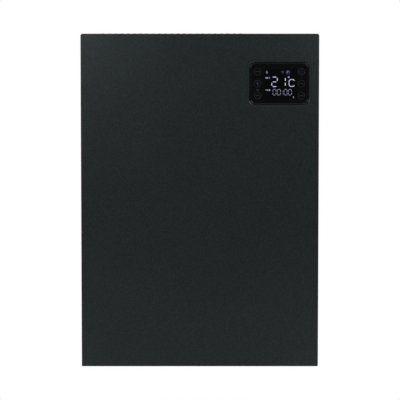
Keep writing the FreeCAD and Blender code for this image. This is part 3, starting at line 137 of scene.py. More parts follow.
def make_lamps():
    for name, place, aim, (width, height), power, colour in LAMPS:
        data = bpy.data.lights.new(name, "AREA")
        data.shape = "RECTANGLE"
        data.size = width
        data.size_y = height
        data.energy = power
        data.color = colour
        lamp = bpy.data.objects.new(name, data)
        lamp.location = place
        lamp.rotation_mode = "QUATERNION"
        lamp.rotation_quaternion = (Vector(aim) - Vector(place)).to_track_quat("-Z", "Y")
        lamp.visible_camera = False
        scene.collection.objects.link(lamp)


def make_world():
    """White to the camera, white behind and dim in front to mirrors and glass, and a low even light."""
    world = bpy.data.worlds.new("surround")
    scene.world = world
    world.use_nodes = True
    tree = world.node_tree
    tree.nodes.clear()
    make, link = tree.nodes.new, tree.links.new
    white, ambient, seen = (make("ShaderNodeBackground") for _ in range(3))
    for background in (white, ambient, seen):
        background.inputs["Color"].default_value = (*WHITE, 1)
    ambient.inputs["Strength"].default_value = AMBIENT
    direction = make("ShaderNodeSeparateXYZ")
    link(make("ShaderNodeTexCoord").outputs["Generated"], direction.inputs[0])
    towards_wall = map_range(tree, direction.outputs["Y"], ROOM_EDGE, WALL_EDGE, ROOM_GLOSS, 1.0)
    towards_wall.interpolation_type = "SMOOTHSTEP"
    link(towards_wall.outputs[0], seen.inputs["Strength"])
    path = make("ShaderNodeLightPath").outputs
    lit = mix_shaders(tree, mirrored_ray(tree, path), ambient, seen)
    whole = mix_shaders(tree, path["Is Camera Ray"], lit, white)
    link(whole.outputs[0], make("ShaderNodeOutputWorld").inputs[0])
    scene.view_settings.view_transform = "Standard"


# Floor

FLOOR_Z = -0.62
FLOOR_SIDE, FLOOR_BACK = 2.6, 1.0
FLOOR_GREY = (0.8, 0.8, 0.8, 1)
FLOOR_NEAR, FLOOR_FAR = 0.6, 2.2
LIFT_NEAR, LIFT_FAR = 0.18, 0.8


def floor_material():
    """Pale grey, lifted towards white for the camera, mirrors and glass, and clear from below."""
    material = bpy.data.materials.new("floor")
    material.use_nodes = True
    tree = material.node_tree
    tree.nodes.clear()
    make, link = tree.nodes.new, tree.links.new
    pale = make("ShaderNodeBsdfDiffuse")
    pale.inputs["Color"].default_value = FLOOR_GREY
    away = make("ShaderNodeVectorMath")
    away.operation = "LENGTH"
    link(make("ShaderNodeTexCoord").outputs["Object"], away.inputs[0])
    lift = map_range(tree, away.outputs["Value"], FLOOR_NEAR, FLOOR_FAR, LIFT_NEAR, LIFT_FAR)
    path = make("ShaderNodeLightPath").outputs
    shown = math_node(tree, "MAXIMUM", path["Is Camera Ray"], mirrored_ray(tree, path))
    glow = make("ShaderNodeEmission")
    link(math_node(tree, "MULTIPLY", shown, lift.outputs[0]), glow.inputs["Strength"])
    lit = make("ShaderNodeAddShader")
    link(pale.outputs[0], lit.inputs[0])
    link(glow.outputs[0], lit.inputs[1])
    underneath = make("ShaderNodeNewGeometry").outputs["Backfacing"]
    whole = mix_shaders(tree, underneath, lit, make("ShaderNodeBsdfTransparent"))
    link(whole.outputs[0], make("ShaderNodeOutputMaterial").inputs[0])
    return material


def make_floor():
    """A pale floor that shows the shadow from above and isn't seen from below."""
    mesh = bpy.data.meshes.new("floor")
    corners = ((-FLOOR_SIDE, -FLOOR_SIDE), (FLOOR_SIDE, -FLOOR_SIDE), (FLOOR_SIDE, FLOOR_BACK),
               (-FLOOR_SIDE, FLOOR_BACK))
    mesh.from_pydata([(x, y, FLOOR_Z) for x, y in corners], [], [(0, 1, 2, 3)])
    floor = bpy.data.objects.new("floor", mesh)
    scene.collection.objects.link(floor)
    mesh.materials.append(floor_material())


# Materials: each has its own colour variation, roughness variation and surface relief

WAVE_PERIOD = 0.314
BEVEL_SAMPLES = 4
ON_FLAT, ON_EDGE = 0.99, 0.85
MIX_FACTOR, MIX_FIRST, MIX_SECOND, MIX_RESULT = 0, 6, 7, 2


class Finish:
    """A principled material with procedural textures in the object's own metres."""

    def __init__(self, name, **sockets):
        self.material = bpy.data.materials.new(name)
        self.material.use_nodes = True
        self.tree = self.material.node_tree
        self.tree.nodes.clear()
        self.shader = self.make("ShaderNodeBsdfPrincipled")
        for socket, value in sockets.items():
            self.shader.inputs[socket.replace("_", " ")].default_value = value
        self.link(self.shader.outputs[0], self.make("ShaderNodeOutputMaterial").inputs[0])
        self.place = self.make("ShaderNodeTexCoord").outputs["Object"]

    def make(self, kind):
        return self.tree.nodes.new(kind)

    def link(self, start, end):
        self.tree.links.new(start, end)

    def stretched(self, stretch):
        """The object's own place with each axis scaled."""
        mapping = self.make("ShaderNodeMapping")
        mapping.inputs["Scale"].default_value = stretch
        self.link(self.place, mapping.inputs["Vector"])
        return mapping.outputs[0]

    def noise(self, size, detail=2.0, stretch=None):
        """Cloudy noise whose blobs are about size millimetres across."""
        node = self.make("ShaderNodeTexNoise")
        node.inputs["Scale"].default_value = 1 / (size * MM)
        node.inputs["Detail"].default_value = detail
        self.link(self.stretched(stretch) if stretch else self.place, node.inputs["Vector"])
        return node.outputs[0]

    def crystals(self, size):
        """A random colour for each cell of about size millimetres."""
        node = self.make("ShaderNodeTexVoronoi")
        node.inputs["Scale"].default_value = 1 / (size * MM)
        self.link(self.place, node.inputs["Vector"])
        return node.outputs["Color"]

    def axes(self):
        """The object's own x, y and z in metres."""
        node = self.make("ShaderNodeSeparateXYZ")
        self.link(self.place, node.inputs[0])
        return node.outputs

    def flat_cells(self, size, distance, randomness):
        """Cells that tile the object's x and z and don't change through its thickness."""
        flat = self.make("ShaderNodeCombineXYZ")
        x, _, z = self.axes()
        self.link(x, flat.inputs["X"])
        self.link(z, flat.inputs["Y"])
        node = self.make("ShaderNodeTexVoronoi")
        node.voronoi_dimensions = "2D"
        node.distance = distance
        node.inputs["Scale"].default_value = 1 / (size * MM)
        node.inputs["Randomness"].default_value = randomness
        self.link(flat.outputs[0], node.inputs["Vector"])
        return node.outputs

    def stripes(self, width, axis):
        """Soft bands across an axis, one every width millimetres."""
        node = self.make("ShaderNodeTexWave")
        node.bands_direction = axis
        node.inputs["Scale"].default_value = WAVE_PERIOD / (width * MM)
        self.link(self.place, node.inputs["Vector"])
        return node.outputs["Fac"]

    def span(self, factor, low, high, start=0.3, end=0.7):
        """Goes from low to high while the factor goes from start to end."""
        return map_range(self.tree, factor, start, end, low, high).outputs[0]

    def ramp(self, factor, *stops):
        """Colours at places along a factor."""
        node = self.make("ShaderNodeValToRGB")
        elements = node.color_ramp.elements
        while len(elements) < len(stops):
            elements.new(0.5)
        for element, (place, colour) in zip(elements, stops):
            element.position = place
            element.color = (*colour, 1)
        self.link(factor, node.inputs[0])
        return node.outputs[0]

    def mixed(self, factor, first, second):
        """The first colour where the factor is 0, the second where it is 1."""
        node = self.make("ShaderNodeMix")
        node.data_type = "RGBA"
        self.link(factor, node.inputs[MIX_FACTOR])
        self.link(first, node.inputs[MIX_FIRST])
        self.link(second, node.inputs[MIX_SECOND])
        return node.outputs[MIX_RESULT]

    def shaded(self, first, second):
        """One colour multiplied by another."""
        node = self.make("ShaderNodeMix")
        node.data_type = "RGBA"
        node.blend_type = "MULTIPLY"
        node.inputs[MIX_FACTOR].default_value = 1.0
        self.link(first, node.inputs[MIX_FIRST])
        self.link(second, node.inputs[MIX_SECOND])
        return node.outputs[MIX_RESULT]

    def product(self, first, second):
        return math_node(self.tree, "MULTIPLY", first, second)

    def drive(self, **sockets):
        """Links texture outputs to sockets of the shader."""
        for socket, value in sockets.items():
            self.link(value, self.shader.inputs[socket.replace("_", " ")])

    def relief(self, height, depth, strength=1.0, under=None):
        """Bump whose full height is depth millimetres, over a rounded normal if one is given."""
        node = self.make("ShaderNodeBump")
        node.inputs["Strength"].default_value = strength
        node.inputs["Distance"].default_value = depth * MM
        self.link(height, node.inputs["Height"])
        if under:
            self.link(under, node.inputs["Normal"])
        self.drive(Normal=node.outputs[0])

    def rounded_edges(self, radius):
        """A normal that rounds sharp edges off, and a factor that is 1 on those edges."""
        bevel = self.make("ShaderNodeBevel")
        bevel.samples = BEVEL_SAMPLES
        bevel.inputs["Radius"].default_value = radius * MM
        turned = self.make("ShaderNodeVectorMath")
        turned.operation = "DOT_PRODUCT"
        self.link(bevel.outputs[0], turned.inputs[0])
        self.link(self.make("ShaderNodeNewGeometry").outputs["Normal"], turned.inputs[1])
        return bevel.outputs[0], self.span(turned.outputs["Value"], 0, 1, ON_FLAT, ON_EDGE)


def scaled(colour, factor):
    return tuple(min(1.0, channel * factor) for channel in colour)


def plain(name, colour, vary, cloud, rough, grain, depth, stretch=None, **sockets):
    """A moulded, rolled or painted surface: clouded colour, uneven gloss and a fine grain.

    The colour varies by a share of itself in clouds, and the grain has a depth. Sizes are in millimetres.
    """
    finish = Finish(name, **sockets)
    clouds = finish.noise(cloud, 3, stretch)
    tint = finish.ramp(clouds, (0.3, scaled(colour, 1 - vary)), (0.7, scaled(colour, 1 + vary)))
    fine = finish.noise(grain, 2, stretch)
    finish.drive(Base_Color=tint, Roughness=finish.span(fine, *rough))
    finish.relief(fine, depth)
    return finish.material


PAINT = (0.0123, 0.0163, 0.0175)


def powder_coat():
    """Dark blue-grey powder coat: a fine matt speckle over a faint clouding, with a painted highlight that
    lightens its edges.
    """
    finish = Finish("case_paint", Specular_IOR_Level=0.10)
    speckle = finish.noise(2.2, 3)
    clouds = finish.noise(140, 2)
    fine = finish.ramp(speckle, (0.25, scaled(PAINT, 0.55)), (0.75, scaled(PAINT, 1.45)))
    broad = finish.ramp(clouds, (0.3, scaled(WHITE, 0.93)), (0.7, WHITE))
    rounded, edge = finish.rounded_edges(0.6)
    # Painted highlight: a lighter copy of the paint, mixed in where the bevel finds a sharp edge.
    painted_edge_highlight = finish.ramp(speckle, (0.3, scaled(PAINT, 1.2)), (0.7, scaled(PAINT, 2.0)))
    finish.drive(Base_Color=finish.mixed(edge, finish.shaded(fine, broad), painted_edge_highlight),
                 Roughness=finish.span(speckle, 0.50, 0.60))
    finish.relief(finish.noise(0.9, 3), 0.012, 0.6, rounded)
    return finish.material


def galvanised(name, colour, cell):
    """Zinc-coated sheet: crystal spangle with its own gloss in each crystal."""
    finish = Finish(name, Metallic=1.0)
    crystals = finish.crystals(cell)
    tint = finish.ramp(crystals, (0.0, scaled(colour, 0.82)), (1.0, scaled(colour, 1.12)))
    haze = finish.ramp(finish.noise(25, 3), (0.3, scaled(WHITE, 0.88)), (0.7, WHITE))
    finish.drive(Base_Color=finish.shaded(tint, haze), Roughness=finish.span(crystals, 0.34, 0.5, 0, 1))
    finish.relief(finish.noise(0.6, 3), 0.008)
    return finish.material


def circuit_board():
    """Solder mask over patches of parallel copper tracks, with rows of tinned pads here and there."""
    finish = Finish("circuit_board", Coat_Weight=0.3, Coat_Roughness=0.25)
    patches = finish.flat_cells(13, "CHEBYCHEV", 0.9)["Color"]
    upright = finish.span(patches, 0, 1, 0.49, 0.51)
    lines = finish.mixed(upright, finish.stripes(1.4, "X"), finish.stripes(1.4, "Z"))
    mask = finish.ramp(lines, (0.55, (0.010, 0.075, 0.036)), (0.65, (0.022, 0.14, 0.062)))
    dots = finish.flat_cells(2.54, "EUCLIDEAN", 0.0)["Distance"]
    here = finish.span(finish.noise(17, 1), 0, 1, 0.61, 0.63)
    pads = finish.product(here, finish.span(dots, 1, 0, 0.26, 0.3))
    tin = finish.ramp(finish.noise(1), (0.3, (0.46, 0.46, 0.43)), (0.7, (0.6, 0.6, 0.57)))
    finish.drive(Base_Color=finish.mixed(pads, mask, tin), Metallic=pads,
                 Roughness=finish.span(finish.noise(2), 0.35, 0.5))
    finish.relief(lines, 0.03)
    return finish.material


def capped_fuse():
    """A clear glass tube with a nickel cap over each quarter at its ends."""
    low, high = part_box("mains_fuse")
    finish = Finish("fuse_glass", IOR=1.47)
    along = finish.span(finish.axes()["X"], -1, 1, low.x, high.x)
    cap = finish.span(finish.product(along, along), 0, 1, 0.24, 0.26)
    grain = finish.noise(0.8, 2)
    glass = finish.ramp(grain, (0.3, (0.72, 0.78, 0.76)), (0.7, (0.8, 0.85, 0.83)))
    nickel = finish.ramp(grain, (0.3, (0.5, 0.49, 0.46)), (0.7, (0.6, 0.59, 0.56)))
    finish.drive(Base_Color=finish.mixed(cap, glass, nickel), Metallic=cap,
                 Transmission_Weight=finish.span(cap, 0.8, 0.0, 0, 1),
                 Roughness=finish.span(cap, 0.05, 0.3, 0, 1))
    finish.relief(grain, 0.004)
    return finish.material


def heat_tinted():
    """A sheath that has been hot: straw, brown and blue bands over dull steel."""
    finish = Finish("element_steel", Metallic=1.0)
    tint = finish.ramp(finish.noise(30, 4), (0.3, (0.34, 0.31, 0.28)), (0.5, (0.3, 0.24, 0.18)),
                       (0.6, (0.2, 0.19, 0.22)), (0.75, (0.36, 0.34, 0.32)))
    finish.drive(Base_Color=tint, Roughness=finish.span(finish.noise(1.5), 0.42, 0.6))
    finish.relief(finish.noise(0.4), 0.01)
    return finish.material


def striped(name, first, second, width, axis):
    """Two colours in bands, each band a little raised."""
    finish = Finish(name)
    bands = finish.stripes(width, axis)
    finish.drive(Base_Color=finish.ramp(bands, (0.45, first), (0.55, second)),
                 Roughness=finish.span(finish.noise(1), 0.4, 0.55))
    finish.relief(bands, 0.05)
    return finish.material


def smoked_glass():
    """Back-printed black glass with faint wipe marks in its gloss."""
    finish = Finish("control_glass", Specular_IOR_Level=0.5)
    clouds = finish.noise(30, 2)
    tint = finish.ramp(clouds, (0.3, (0.0005, 0.0007, 0.0009)), (0.7, (0.0009, 0.0012, 0.0015)))
    wipes = finish.noise(14, 3, (1, 1, 0.35))
    finish.drive(Base_Color=tint, Roughness=finish.span(wipes, 0.05, 0.09))
    finish.relief(finish.noise(40, 1), 0.01, 0.3)
    return finish.material


def glowing(name, colour):
    """A lit display segment, a little brighter in some places than in others."""
    finish = Finish(name, Base_Color=(0.01, 0.01, 0.012, 1), Roughness=0.3, Emission_Strength=1.0)
    cloud = finish.noise(3, 1)
    finish.drive(Emission_Color=finish.ramp(cloud, (0.3, scaled(colour, 0.9)), (0.7, scaled(colour, 1.1))),
                 Roughness=finish.span(cloud, 0.25, 0.35))
    return finish.material


PLAIN_FINISHES = {
    "zinc_fasteners": dict(colour=(0.56, 0.57, 0.58), vary=0.1, cloud=2, rough=(0.24, 0.36), grain=0.3,
                           depth=0.006, Metallic=1.0),
    "bumper_rubber": dict(colour=(0.022, 0.022, 0.023), vary=0.15, cloud=3, rough=(0.62, 0.78), grain=0.35,
                          depth=0.03),
    "bezel_plastic": dict(colour=(0.0042, 0.0045, 0.0050), vary=0.15, cloud=5, rough=(0.10, 0.16), grain=0.4,
                          depth=0.002, Specular_IOR_Level=0.33),
    # The lip's colour is the panel paint made lighter: a painted highlight for the light caught along the
    # opening's edge.
    "window_lip": dict(colour=(0.0132, 0.0188, 0.0202), vary=0.2, cloud=2.2, rough=(0.16, 0.22), grain=0.9,
                       depth=0.003, Specular_IOR_Level=0.1),
    "display_plastic": dict(colour=(0.015, 0.015, 0.018), vary=0.15, cloud=5, rough=(0.2, 0.3), grain=0.5,
                            depth=0.005),
    "display_window": dict(colour=(0.0006, 0.0006, 0.0008), vary=0.2, cloud=8, rough=(0.1, 0.14), grain=2,
                           depth=0.001, Specular_IOR_Level=0.36),
    "key_print": dict(colour=(0.0085, 0.0165, 0.0255), vary=0.12, cloud=3, rough=(0.3, 0.4), grain=0.5,
                      depth=0.004),
    "key_label_print": dict(colour=(0.0085, 0.0205, 0.0290), vary=0.12, cloud=3, rough=(0.3, 0.4), grain=0.5,
                            depth=0.004),
    "sign_print": dict(colour=(0.62, 0.62, 0.6), vary=0.06, cloud=2, rough=(0.45, 0.6), grain=0.4,
                       depth=0.004),
    "pad_rubber": dict(colour=(0.08, 0.08, 0.08), vary=0.2, cloud=1, rough=(0.7, 0.85), grain=0.4,
                       depth=0.08),
    "shield_can": dict(colour=(0.62, 0.61, 0.58), vary=0.1, cloud=3, rough=(0.25, 0.4), grain=0.5,
                       depth=0.01, Metallic=1.0),
    "black_plastic": dict(colour=(0.02, 0.02, 0.021), vary=0.15, cloud=4, rough=(0.42, 0.56), grain=0.35,
                          depth=0.025),
    "fin_aluminium": dict(colour=(0.7, 0.71, 0.72), vary=0.08, cloud=4, rough=(0.3, 0.45), grain=0.6,
                          depth=0.008, stretch=(1, 1, 0.1), Metallic=1.0),
    "reflector_aluminium": dict(colour=(0.78, 0.79, 0.8), vary=0.06, cloud=5, rough=(0.18, 0.3), grain=0.6,
                                depth=0.006, stretch=(0.08, 1, 1), Metallic=1.0),
    "cutout_can": dict(colour=(0.66, 0.66, 0.67), vary=0.08, cloud=3, rough=(0.3, 0.45), grain=0.5,
                       depth=0.006, Metallic=1.0),
    "ceramic": dict(colour=(0.82, 0.8, 0.74), vary=0.06, cloud=2, rough=(0.5, 0.65), grain=0.4,
                    depth=0.02),
    "nylon": dict(colour=(0.76, 0.75, 0.7), vary=0.05, cloud=3, rough=(0.4, 0.55), grain=0.5,
                  depth=0.01, Subsurface_Weight=0.1),
    "insulator": dict(colour=(0.62, 0.56, 0.42), vary=0.14, cloud=1.2, rough=(0.6, 0.75), grain=0.3,
                      depth=0.02),
    "relay_plastic": dict(colour=(0.02, 0.06, 0.25), vary=0.1, cloud=4, rough=(0.25, 0.35), grain=0.5,
                          depth=0.008),
    "terminal_plastic": dict(colour=(0.03, 0.2, 0.08), vary=0.1, cloud=3, rough=(0.4, 0.5), grain=0.4,
                             depth=0.015),
    "capacitor_sleeve": dict(colour=(0.03, 0.04, 0.12), vary=0.1, cloud=3, rough=(0.25, 0.35), grain=0.5,
                             depth=0.008),
    "connector_plastic": dict(colour=(0.78, 0.76, 0.71), vary=0.05, cloud=3, rough=(0.45, 0.55), grain=0.4,
                              depth=0.01),
    "lead_plastic": dict(colour=(0.22, 0.075, 0.03), vary=0.12, cloud=2, rough=(0.4, 0.5), grain=0.4,
                         depth=0.01),
    "sensor_plastic": dict(colour=(0.035, 0.035, 0.035), vary=0.15, cloud=2, rough=(0.45, 0.6), grain=0.4,
                           depth=0.02),
    "rocker_plastic": dict(colour=(0.012, 0.012, 0.013), vary=0.15, cloud=4, rough=(0.2, 0.3), grain=0.4,
                           depth=0.006),
    "terminal_brass": dict(colour=(0.68, 0.5, 0.22), vary=0.1, cloud=2, rough=(0.26, 0.4), grain=0.4,
                           depth=0.008, Metallic=1.0),
}
MATERIALS = {name: plain(name, **values) for name, values in PLAIN_FINISHES.items()}
MATERIALS |= {
    "case_paint": powder_coat(),
    "bracket_steel": galvanised("bracket_steel", (0.5, 0.51, 0.52), cell=5),
    "zinc_sheet": galvanised("zinc_sheet", (0.55, 0.56, 0.57), cell=9),
    "control_glass": smoked_glass(),
    "circuit_board": circuit_board(),
    "element_steel": heat_tinted(),
    "fuse_glass": capped_fuse(),
    "ribbon_plastic": striped("ribbon_plastic", (0.32, 0.33, 0.35), (0.46, 0.47, 0.49), width=1.27, axis="X"),
    "earth_plastic": striped("earth_plastic", (0.05, 0.24, 0.04), (0.62, 0.52, 0.04), width=2.4, axis="Y"),
    "segment_light": glowing("segment_light", (0.61, 0.66, 0.98)),
    "small_segment_light": glowing("small_segment_light", (0.32, 0.33, 0.49)),
    "icon_light": glowing("icon_light", (0.105, 0.105, 0.215)),
}
SLOT_OF = {row["node"]: row["material_slot"] for row in frame["record"]["subparts"]}


def dress_cad():
    for name, node in nodes.items():
        node.data.materials.clear()
        node.data.materials.append(MATERIALS[SLOT_OF[name]])


# Mesh helpers

STEPS_PER_METRE = 1e5


def add_piece(name, shape, material, body, smooth_angle=None):
    """Makes a piece from a finished shape and puts it on a body; edges sharper than the angle stay sharp."""
    bmesh.ops.recalc_face_normals(shape, faces=shape.faces[:])
    mesh = bpy.data.meshes.new(name)
    shape.to_mesh(mesh)
    shape.free()
    mesh.materials.append(MATERIALS[material])
    if smooth_angle:
        mesh.shade_smooth()
        mesh.set_sharp_from_angle(angle=math.radians(smooth_angle))
    piece = bpy.data.objects.new(name, mesh)
    scene.collection.objects.link(piece)
    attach(piece, body)
    return piece


def swap_node(name, shape, slot, smooth_angle):
    """Puts a finer piece of the same material in place of a CAD node of the heater."""
    piece = add_piece(f"{name}_detail", shape, slot, "heater", smooth_angle)
    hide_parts(name)


def skin(shape, loops):
    """Four-sided faces between each closed loop of corners and the next."""
    for first, second in zip(loops, loops[1:]):
        for i, corner in enumerate(first):
            after = (i + 1) % len(first)
            shape.faces.new((corner, first[after], second[after], second[i]))


def islands(name):
    """Low and high corners of each separate solid in a CAD node, in a steady order."""
    mesh = nodes[name].data
    places = [tuple(round(value * STEPS_PER_METRE) for value in vertex.co) for vertex in mesh.vertices]
    parent = {place: place for place in places}

    def root(place):
        while parent[place] != place:
            parent[place] = parent[parent[place]]
            place = parent[place]
        return place

    for polygon in mesh.polygons:
        first = root(places[polygon.vertices[0]])
        for index in polygon.vertices[1:]:
            parent[root(places[index])] = first
    groups = {}
    for vertex, place in zip(mesh.vertices, places):
        groups.setdefault(root(place), []).append(vertex.co)
    boxes = []
    for points in groups.values():
        low = Vector(map(min, zip(*points)))
        high = Vector(map(max, zip(*points)))
        boxes.append((low, high))
    return sorted(boxes, key=lambda box: tuple(round(value * STEPS_PER_METRE) for value in box[0]))


# Drawing in a plane, in millimetres: each sign is a list of faces, and each face a list of points

def arc_points(x, z, radius, start, end, count):
    """Points on a circle from one angle to another, in degrees."""
    turns = [math.radians(start + (end - start) * i / count) for i in range(count + 1)]
    return [(x + radius * math.cos(turn), z + radius * math.sin(turn)) for turn in turns]


def circle_points(x, z, radius, count):
    return arc_points(x, z, radius, 0, 360, count)[:-1]


def arc_band(x, z, outer, inner, start=0.0, end=360.0, count=48):
    """A ring or part of one, as a row of four-sided faces."""
    outside, inside = (arc_points(x, z, radius, start, end, count) for radius in (outer, inner))
    return [[outside[i], outside[i + 1], inside[i + 1], inside[i]] for i in range(count)]


CORNER_CUT = 0.25


def bar(x, z, width, height):
    """A bar with cut corners."""
    right, top, cut = width / 2, height / 2, min(width, height) * CORNER_CUT
    quarter = ((right - cut, top), (right, top - cut))
    upper = list(quarter[::-1]) + [(-across, up) for across, up in quarter]
    lower = [(-across, -up) for across, up in upper]
    return [[(x + across, z + up) for across, up in upper + lower]]


MITRE_LIMIT = 0.5


def polyline(points, width):
    """A stroke of even width through points, mitred at its corners."""
    sides = []
    for i, point in enumerate(points):
        here = Vector(point)
        before = (here - Vector(points[i - 1])).normalized() if i else None
        after = (Vector(points[i + 1]) - here).normalized() if i + 1 < len(points) else None
        onward = after or before
        ahead = ((before or after) + onward).normalized()
        across = Vector((-ahead.y, ahead.x))
        reach = width / 2 / max(MITRE_LIMIT, across.dot(Vector((-onward.y, onward.x))))
        sides.append((tuple(here + across * reach), tuple(here - across * reach)))
    return [[first[0], second[0], second[1], first[1]] for first, second in zip(sides, sides[1:])]


SEGMENTS = {"0": "abcdef", "1": "bc", "2": "abged"}


def digit(text, x, z, width, height, stroke, gap):
    """A seven-segment digit of six-sided strokes."""
    right, top, half = (width - stroke) / 2, (height - stroke) / 2, stroke / 2
    ends = {"a": ((-right, top), (right, top)), "b": ((right, top), (right, 0)),
            "c": ((right, 0), (right, -top)), "d": ((-right, -top), (right, -top)),
            "e": ((-right, 0), (-right, -top)), "f": ((-right, top), (-right, 0)),
            "g": ((-right, 0), (right, 0))}
    faces = []
    for segment in SEGMENTS[text]:
        start, end = (Vector(point) for point in ends[segment])
        ahead = (end - start).normalized()
        across = Vector((-ahead.y, ahead.x)) * half
        start, end = start + ahead * gap, end - ahead * gap
        corners = (start, start + ahead * half + across, end - ahead * half + across, end,
                   end - ahead * half - across, start + ahead * half - across)
        faces.append([(x + corner.x, z + corner.y) for corner in corners])
    return faces


def rounded_plate(width, height, radius, x=0.0, z=0.0, steps=6):
    """The points of a rectangle with rounded corners."""
    points = []
    for i, (right, up) in enumerate(((1, -1), (1, 1), (-1, 1), (-1, -1))):
        middle = (x + right * (width / 2 - radius), z + up * (height / 2 - radius))
        start = 90 * (i - 1)
        points += arc_points(*middle, radius, start, start + 90, steps)
    return points


WELD = 0.001


def add_print(shape, faces, sink, rise, place):
    """Adds closed print to a shape: faces from sink under a surface to rise over it, placed by a matrix."""
    corners = {}
    drawn = []
    for face in faces:
        keys = [(round(x / WELD), round(y / WELD)) for x, y in face]
        for key, (x, y) in zip(keys, face):
            if key not in corners:
                corners[key] = shape.verts.new(Vector((x, y, -sink)) * MM)
        drawn.append(shape.faces.new([corners[key] for key in keys]))
    grown = bmesh.ops.extrude_face_region(shape, geom=drawn)["geom"]
    front = [item for item in grown if isinstance(item, bmesh.types.BMVert)]
    bmesh.ops.translate(shape, verts=front, vec=(0, 0, (sink + rise) * MM))
    bmesh.ops.transform(shape, matrix=place, verts=list(corners.values()) + front)


# Prints on the control glass, in millimetres from the middle of the glass

GLASS_LOW, GLASS_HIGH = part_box("control_glass")
GLASS_MIDDLE = (GLASS_LOW + GLASS_HIGH) / 2
PRINT_DROP = 0.5
PRINT_SINK = 0.02
WINDOW_RISE, KEY_RISE, LIGHT_RISE = 0.015, 0.03, 0.05
QUARTER_TURN = math.pi / 2


def glass_print(name, faces, material, rise):
    """A piece of raised print on the front of the glass."""
    shape = bmesh.new()
    middle = Vector((GLASS_MIDDLE.x, GLASS_LOW.y, GLASS_MIDDLE.z - PRINT_DROP * MM))
    place = Matrix.Translation(middle) @ Matrix.Rotation(QUARTER_TURN, 4, "X")
    add_print(shape, faces, PRINT_SINK, rise, place)
    add_piece(name, shape, material, "heater")


WINDOW = {"width": 59.6, "height": 55.0, "radius": 2.0, "x": 3.0, "z": -1.2}
BIG_DIGIT = {"z": 3.1, "width": 11.0, "height": 18.2, "stroke": 1.15, "gap": 1.5}
TENS_X, ONES_X = -8.37, 6.1
LETTER_X, LETTER_Z = 22.5, 1.05
LETTER_RIGHT, LETTER_TOP, LETTER_CUT = 4.8, 6.2, 2.5
LETTER_TAIL_ACROSS, LETTER_TAIL_DOWN = 1.6, 2.0
LETTER_STROKE = 0.95
DEGREE_RING = {"x": 17.1, "z": 11.5, "outer": 1.55, "inner": 0.6}
CLOCK_DIGIT = {"z": -15.45, "width": 6.3, "height": 10.7, "stroke": 0.65, "gap": 0.7}
CLOCK_COLUMNS = (-8.5, -0.35, 11.55, 19.45)
COLON_X, COLON_ROWS, COLON_SIDE = 6.8, (-14.1, -17.9), 0.9


def letter_c():
    """An open letter with cut corners; its lower half mirrors its upper half."""
    upper = [(LETTER_RIGHT, LETTER_TOP - LETTER_TAIL_DOWN), (LETTER_RIGHT - LETTER_TAIL_ACROSS, LETTER_TOP),
             (LETTER_CUT - LETTER_RIGHT, LETTER_TOP), (-LETTER_RIGHT, LETTER_TOP - LETTER_CUT)]
    lower = [(x, -z) for x, z in reversed(upper)]
    return polyline([(LETTER_X + x, LETTER_Z + z) for x, z in upper + lower], LETTER_STROKE)


def display_window():
    glass_print("display_window", [rounded_plate(**WINDOW)], "display_window", WINDOW_RISE)


def display_temperature():
    faces = digit("2", TENS_X, **BIG_DIGIT) + digit("1", ONES_X, **BIG_DIGIT) + letter_c()
    glass_print("display_temperature", faces, "segment_light", LIGHT_RISE)


def display_clock():
    """Four digits and a colon, with the ring of the degree sign, which glows as softly."""
    faces = arc_band(**DEGREE_RING)
    for x in CLOCK_COLUMNS:
        faces += digit("0", x, **CLOCK_DIGIT)
    for z in COLON_ROWS:
        faces += bar(COLON_X, z, COLON_SIDE, COLON_SIDE)
    glass_print("display_clock", faces, "small_segment_light", LIGHT_RISE)


# Small marks: the middle, width and height of each bar, and the corners of the pointer
MARK_BARS = (
    (-23.7, 10.2, 2.2, 2.2), (-21.0, 10.2, 1.8, 3.0), (-17.4, 10.2, 0.7, 2.8),
    (-23.6, -11.4, 1.4, 1.8), (-20.6, -11.7, 2.4, 2.2), (-17.4, -11.8, 2.2, 2.3),
)
POINTER = [(24.95, -23.3), (25.75, -26.9), (26.55, -23.3)]


def bars(table):
    return [face for row in table for face in bar(*row)]


def display_marks():
    """Bars in place of small words, and a pointer."""
    glass_print("display_marks", bars(MARK_BARS) + [POINTER], "small_segment_light",
                LIGHT_RISE)


DROP_TIP = (-22.5, 23.6)
DROP_BELLY = {"x": -22.1, "z": 19.8, "radius": 1.9, "start": 150, "end": 390, "count": 12}
FAN_PLACE = {"x": 6.05, "z": 17.6, "start": 54, "end": 126}
FAN_DOT = {"x": 6.05, "z": 18.2, "radius": 0.6, "count": 12}
BADGE_PLACE = {"x": 15.9, "z": 20.1}
BADGE_FILL = {"radius": 2.4, "start": 45, "end": 225, "count": 12}


def display_icons():
    """A drop, two arcs over a dot and a half-filled disc."""
    faces = [[DROP_TIP] + arc_points(**DROP_BELLY)]
    faces += arc_band(**FAN_PLACE, outer=4.6, inner=4.1, count=10)
    faces += arc_band(**FAN_PLACE, outer=3.1, inner=2.6, count=8)
    faces.append(circle_points(**FAN_DOT))
    faces += arc_band(**BADGE_PLACE, outer=3.4, inner=3.0)
    faces.append(arc_points(**BADGE_PLACE, **BADGE_FILL))
    glass_print("display_icons", faces, "icon_light", LIGHT_RISE)


KEY_LEFT, KEY_RIGHT = -39.0, 39.9
KEY_TOP, KEY_MIDDLE, KEY_LOW = 21.4, -0.1, -21.7
KEY_RADIUS, KEY_STROKE, KEY_COUNT = 6.4, 0.6, 64
SWITCH_ARC = {"outer": 3.3, "inner": 2.7, "start": 125, "end": 415, "count": 28}
SWITCH_DROP = 0.2
LABEL_ROW = -11.4

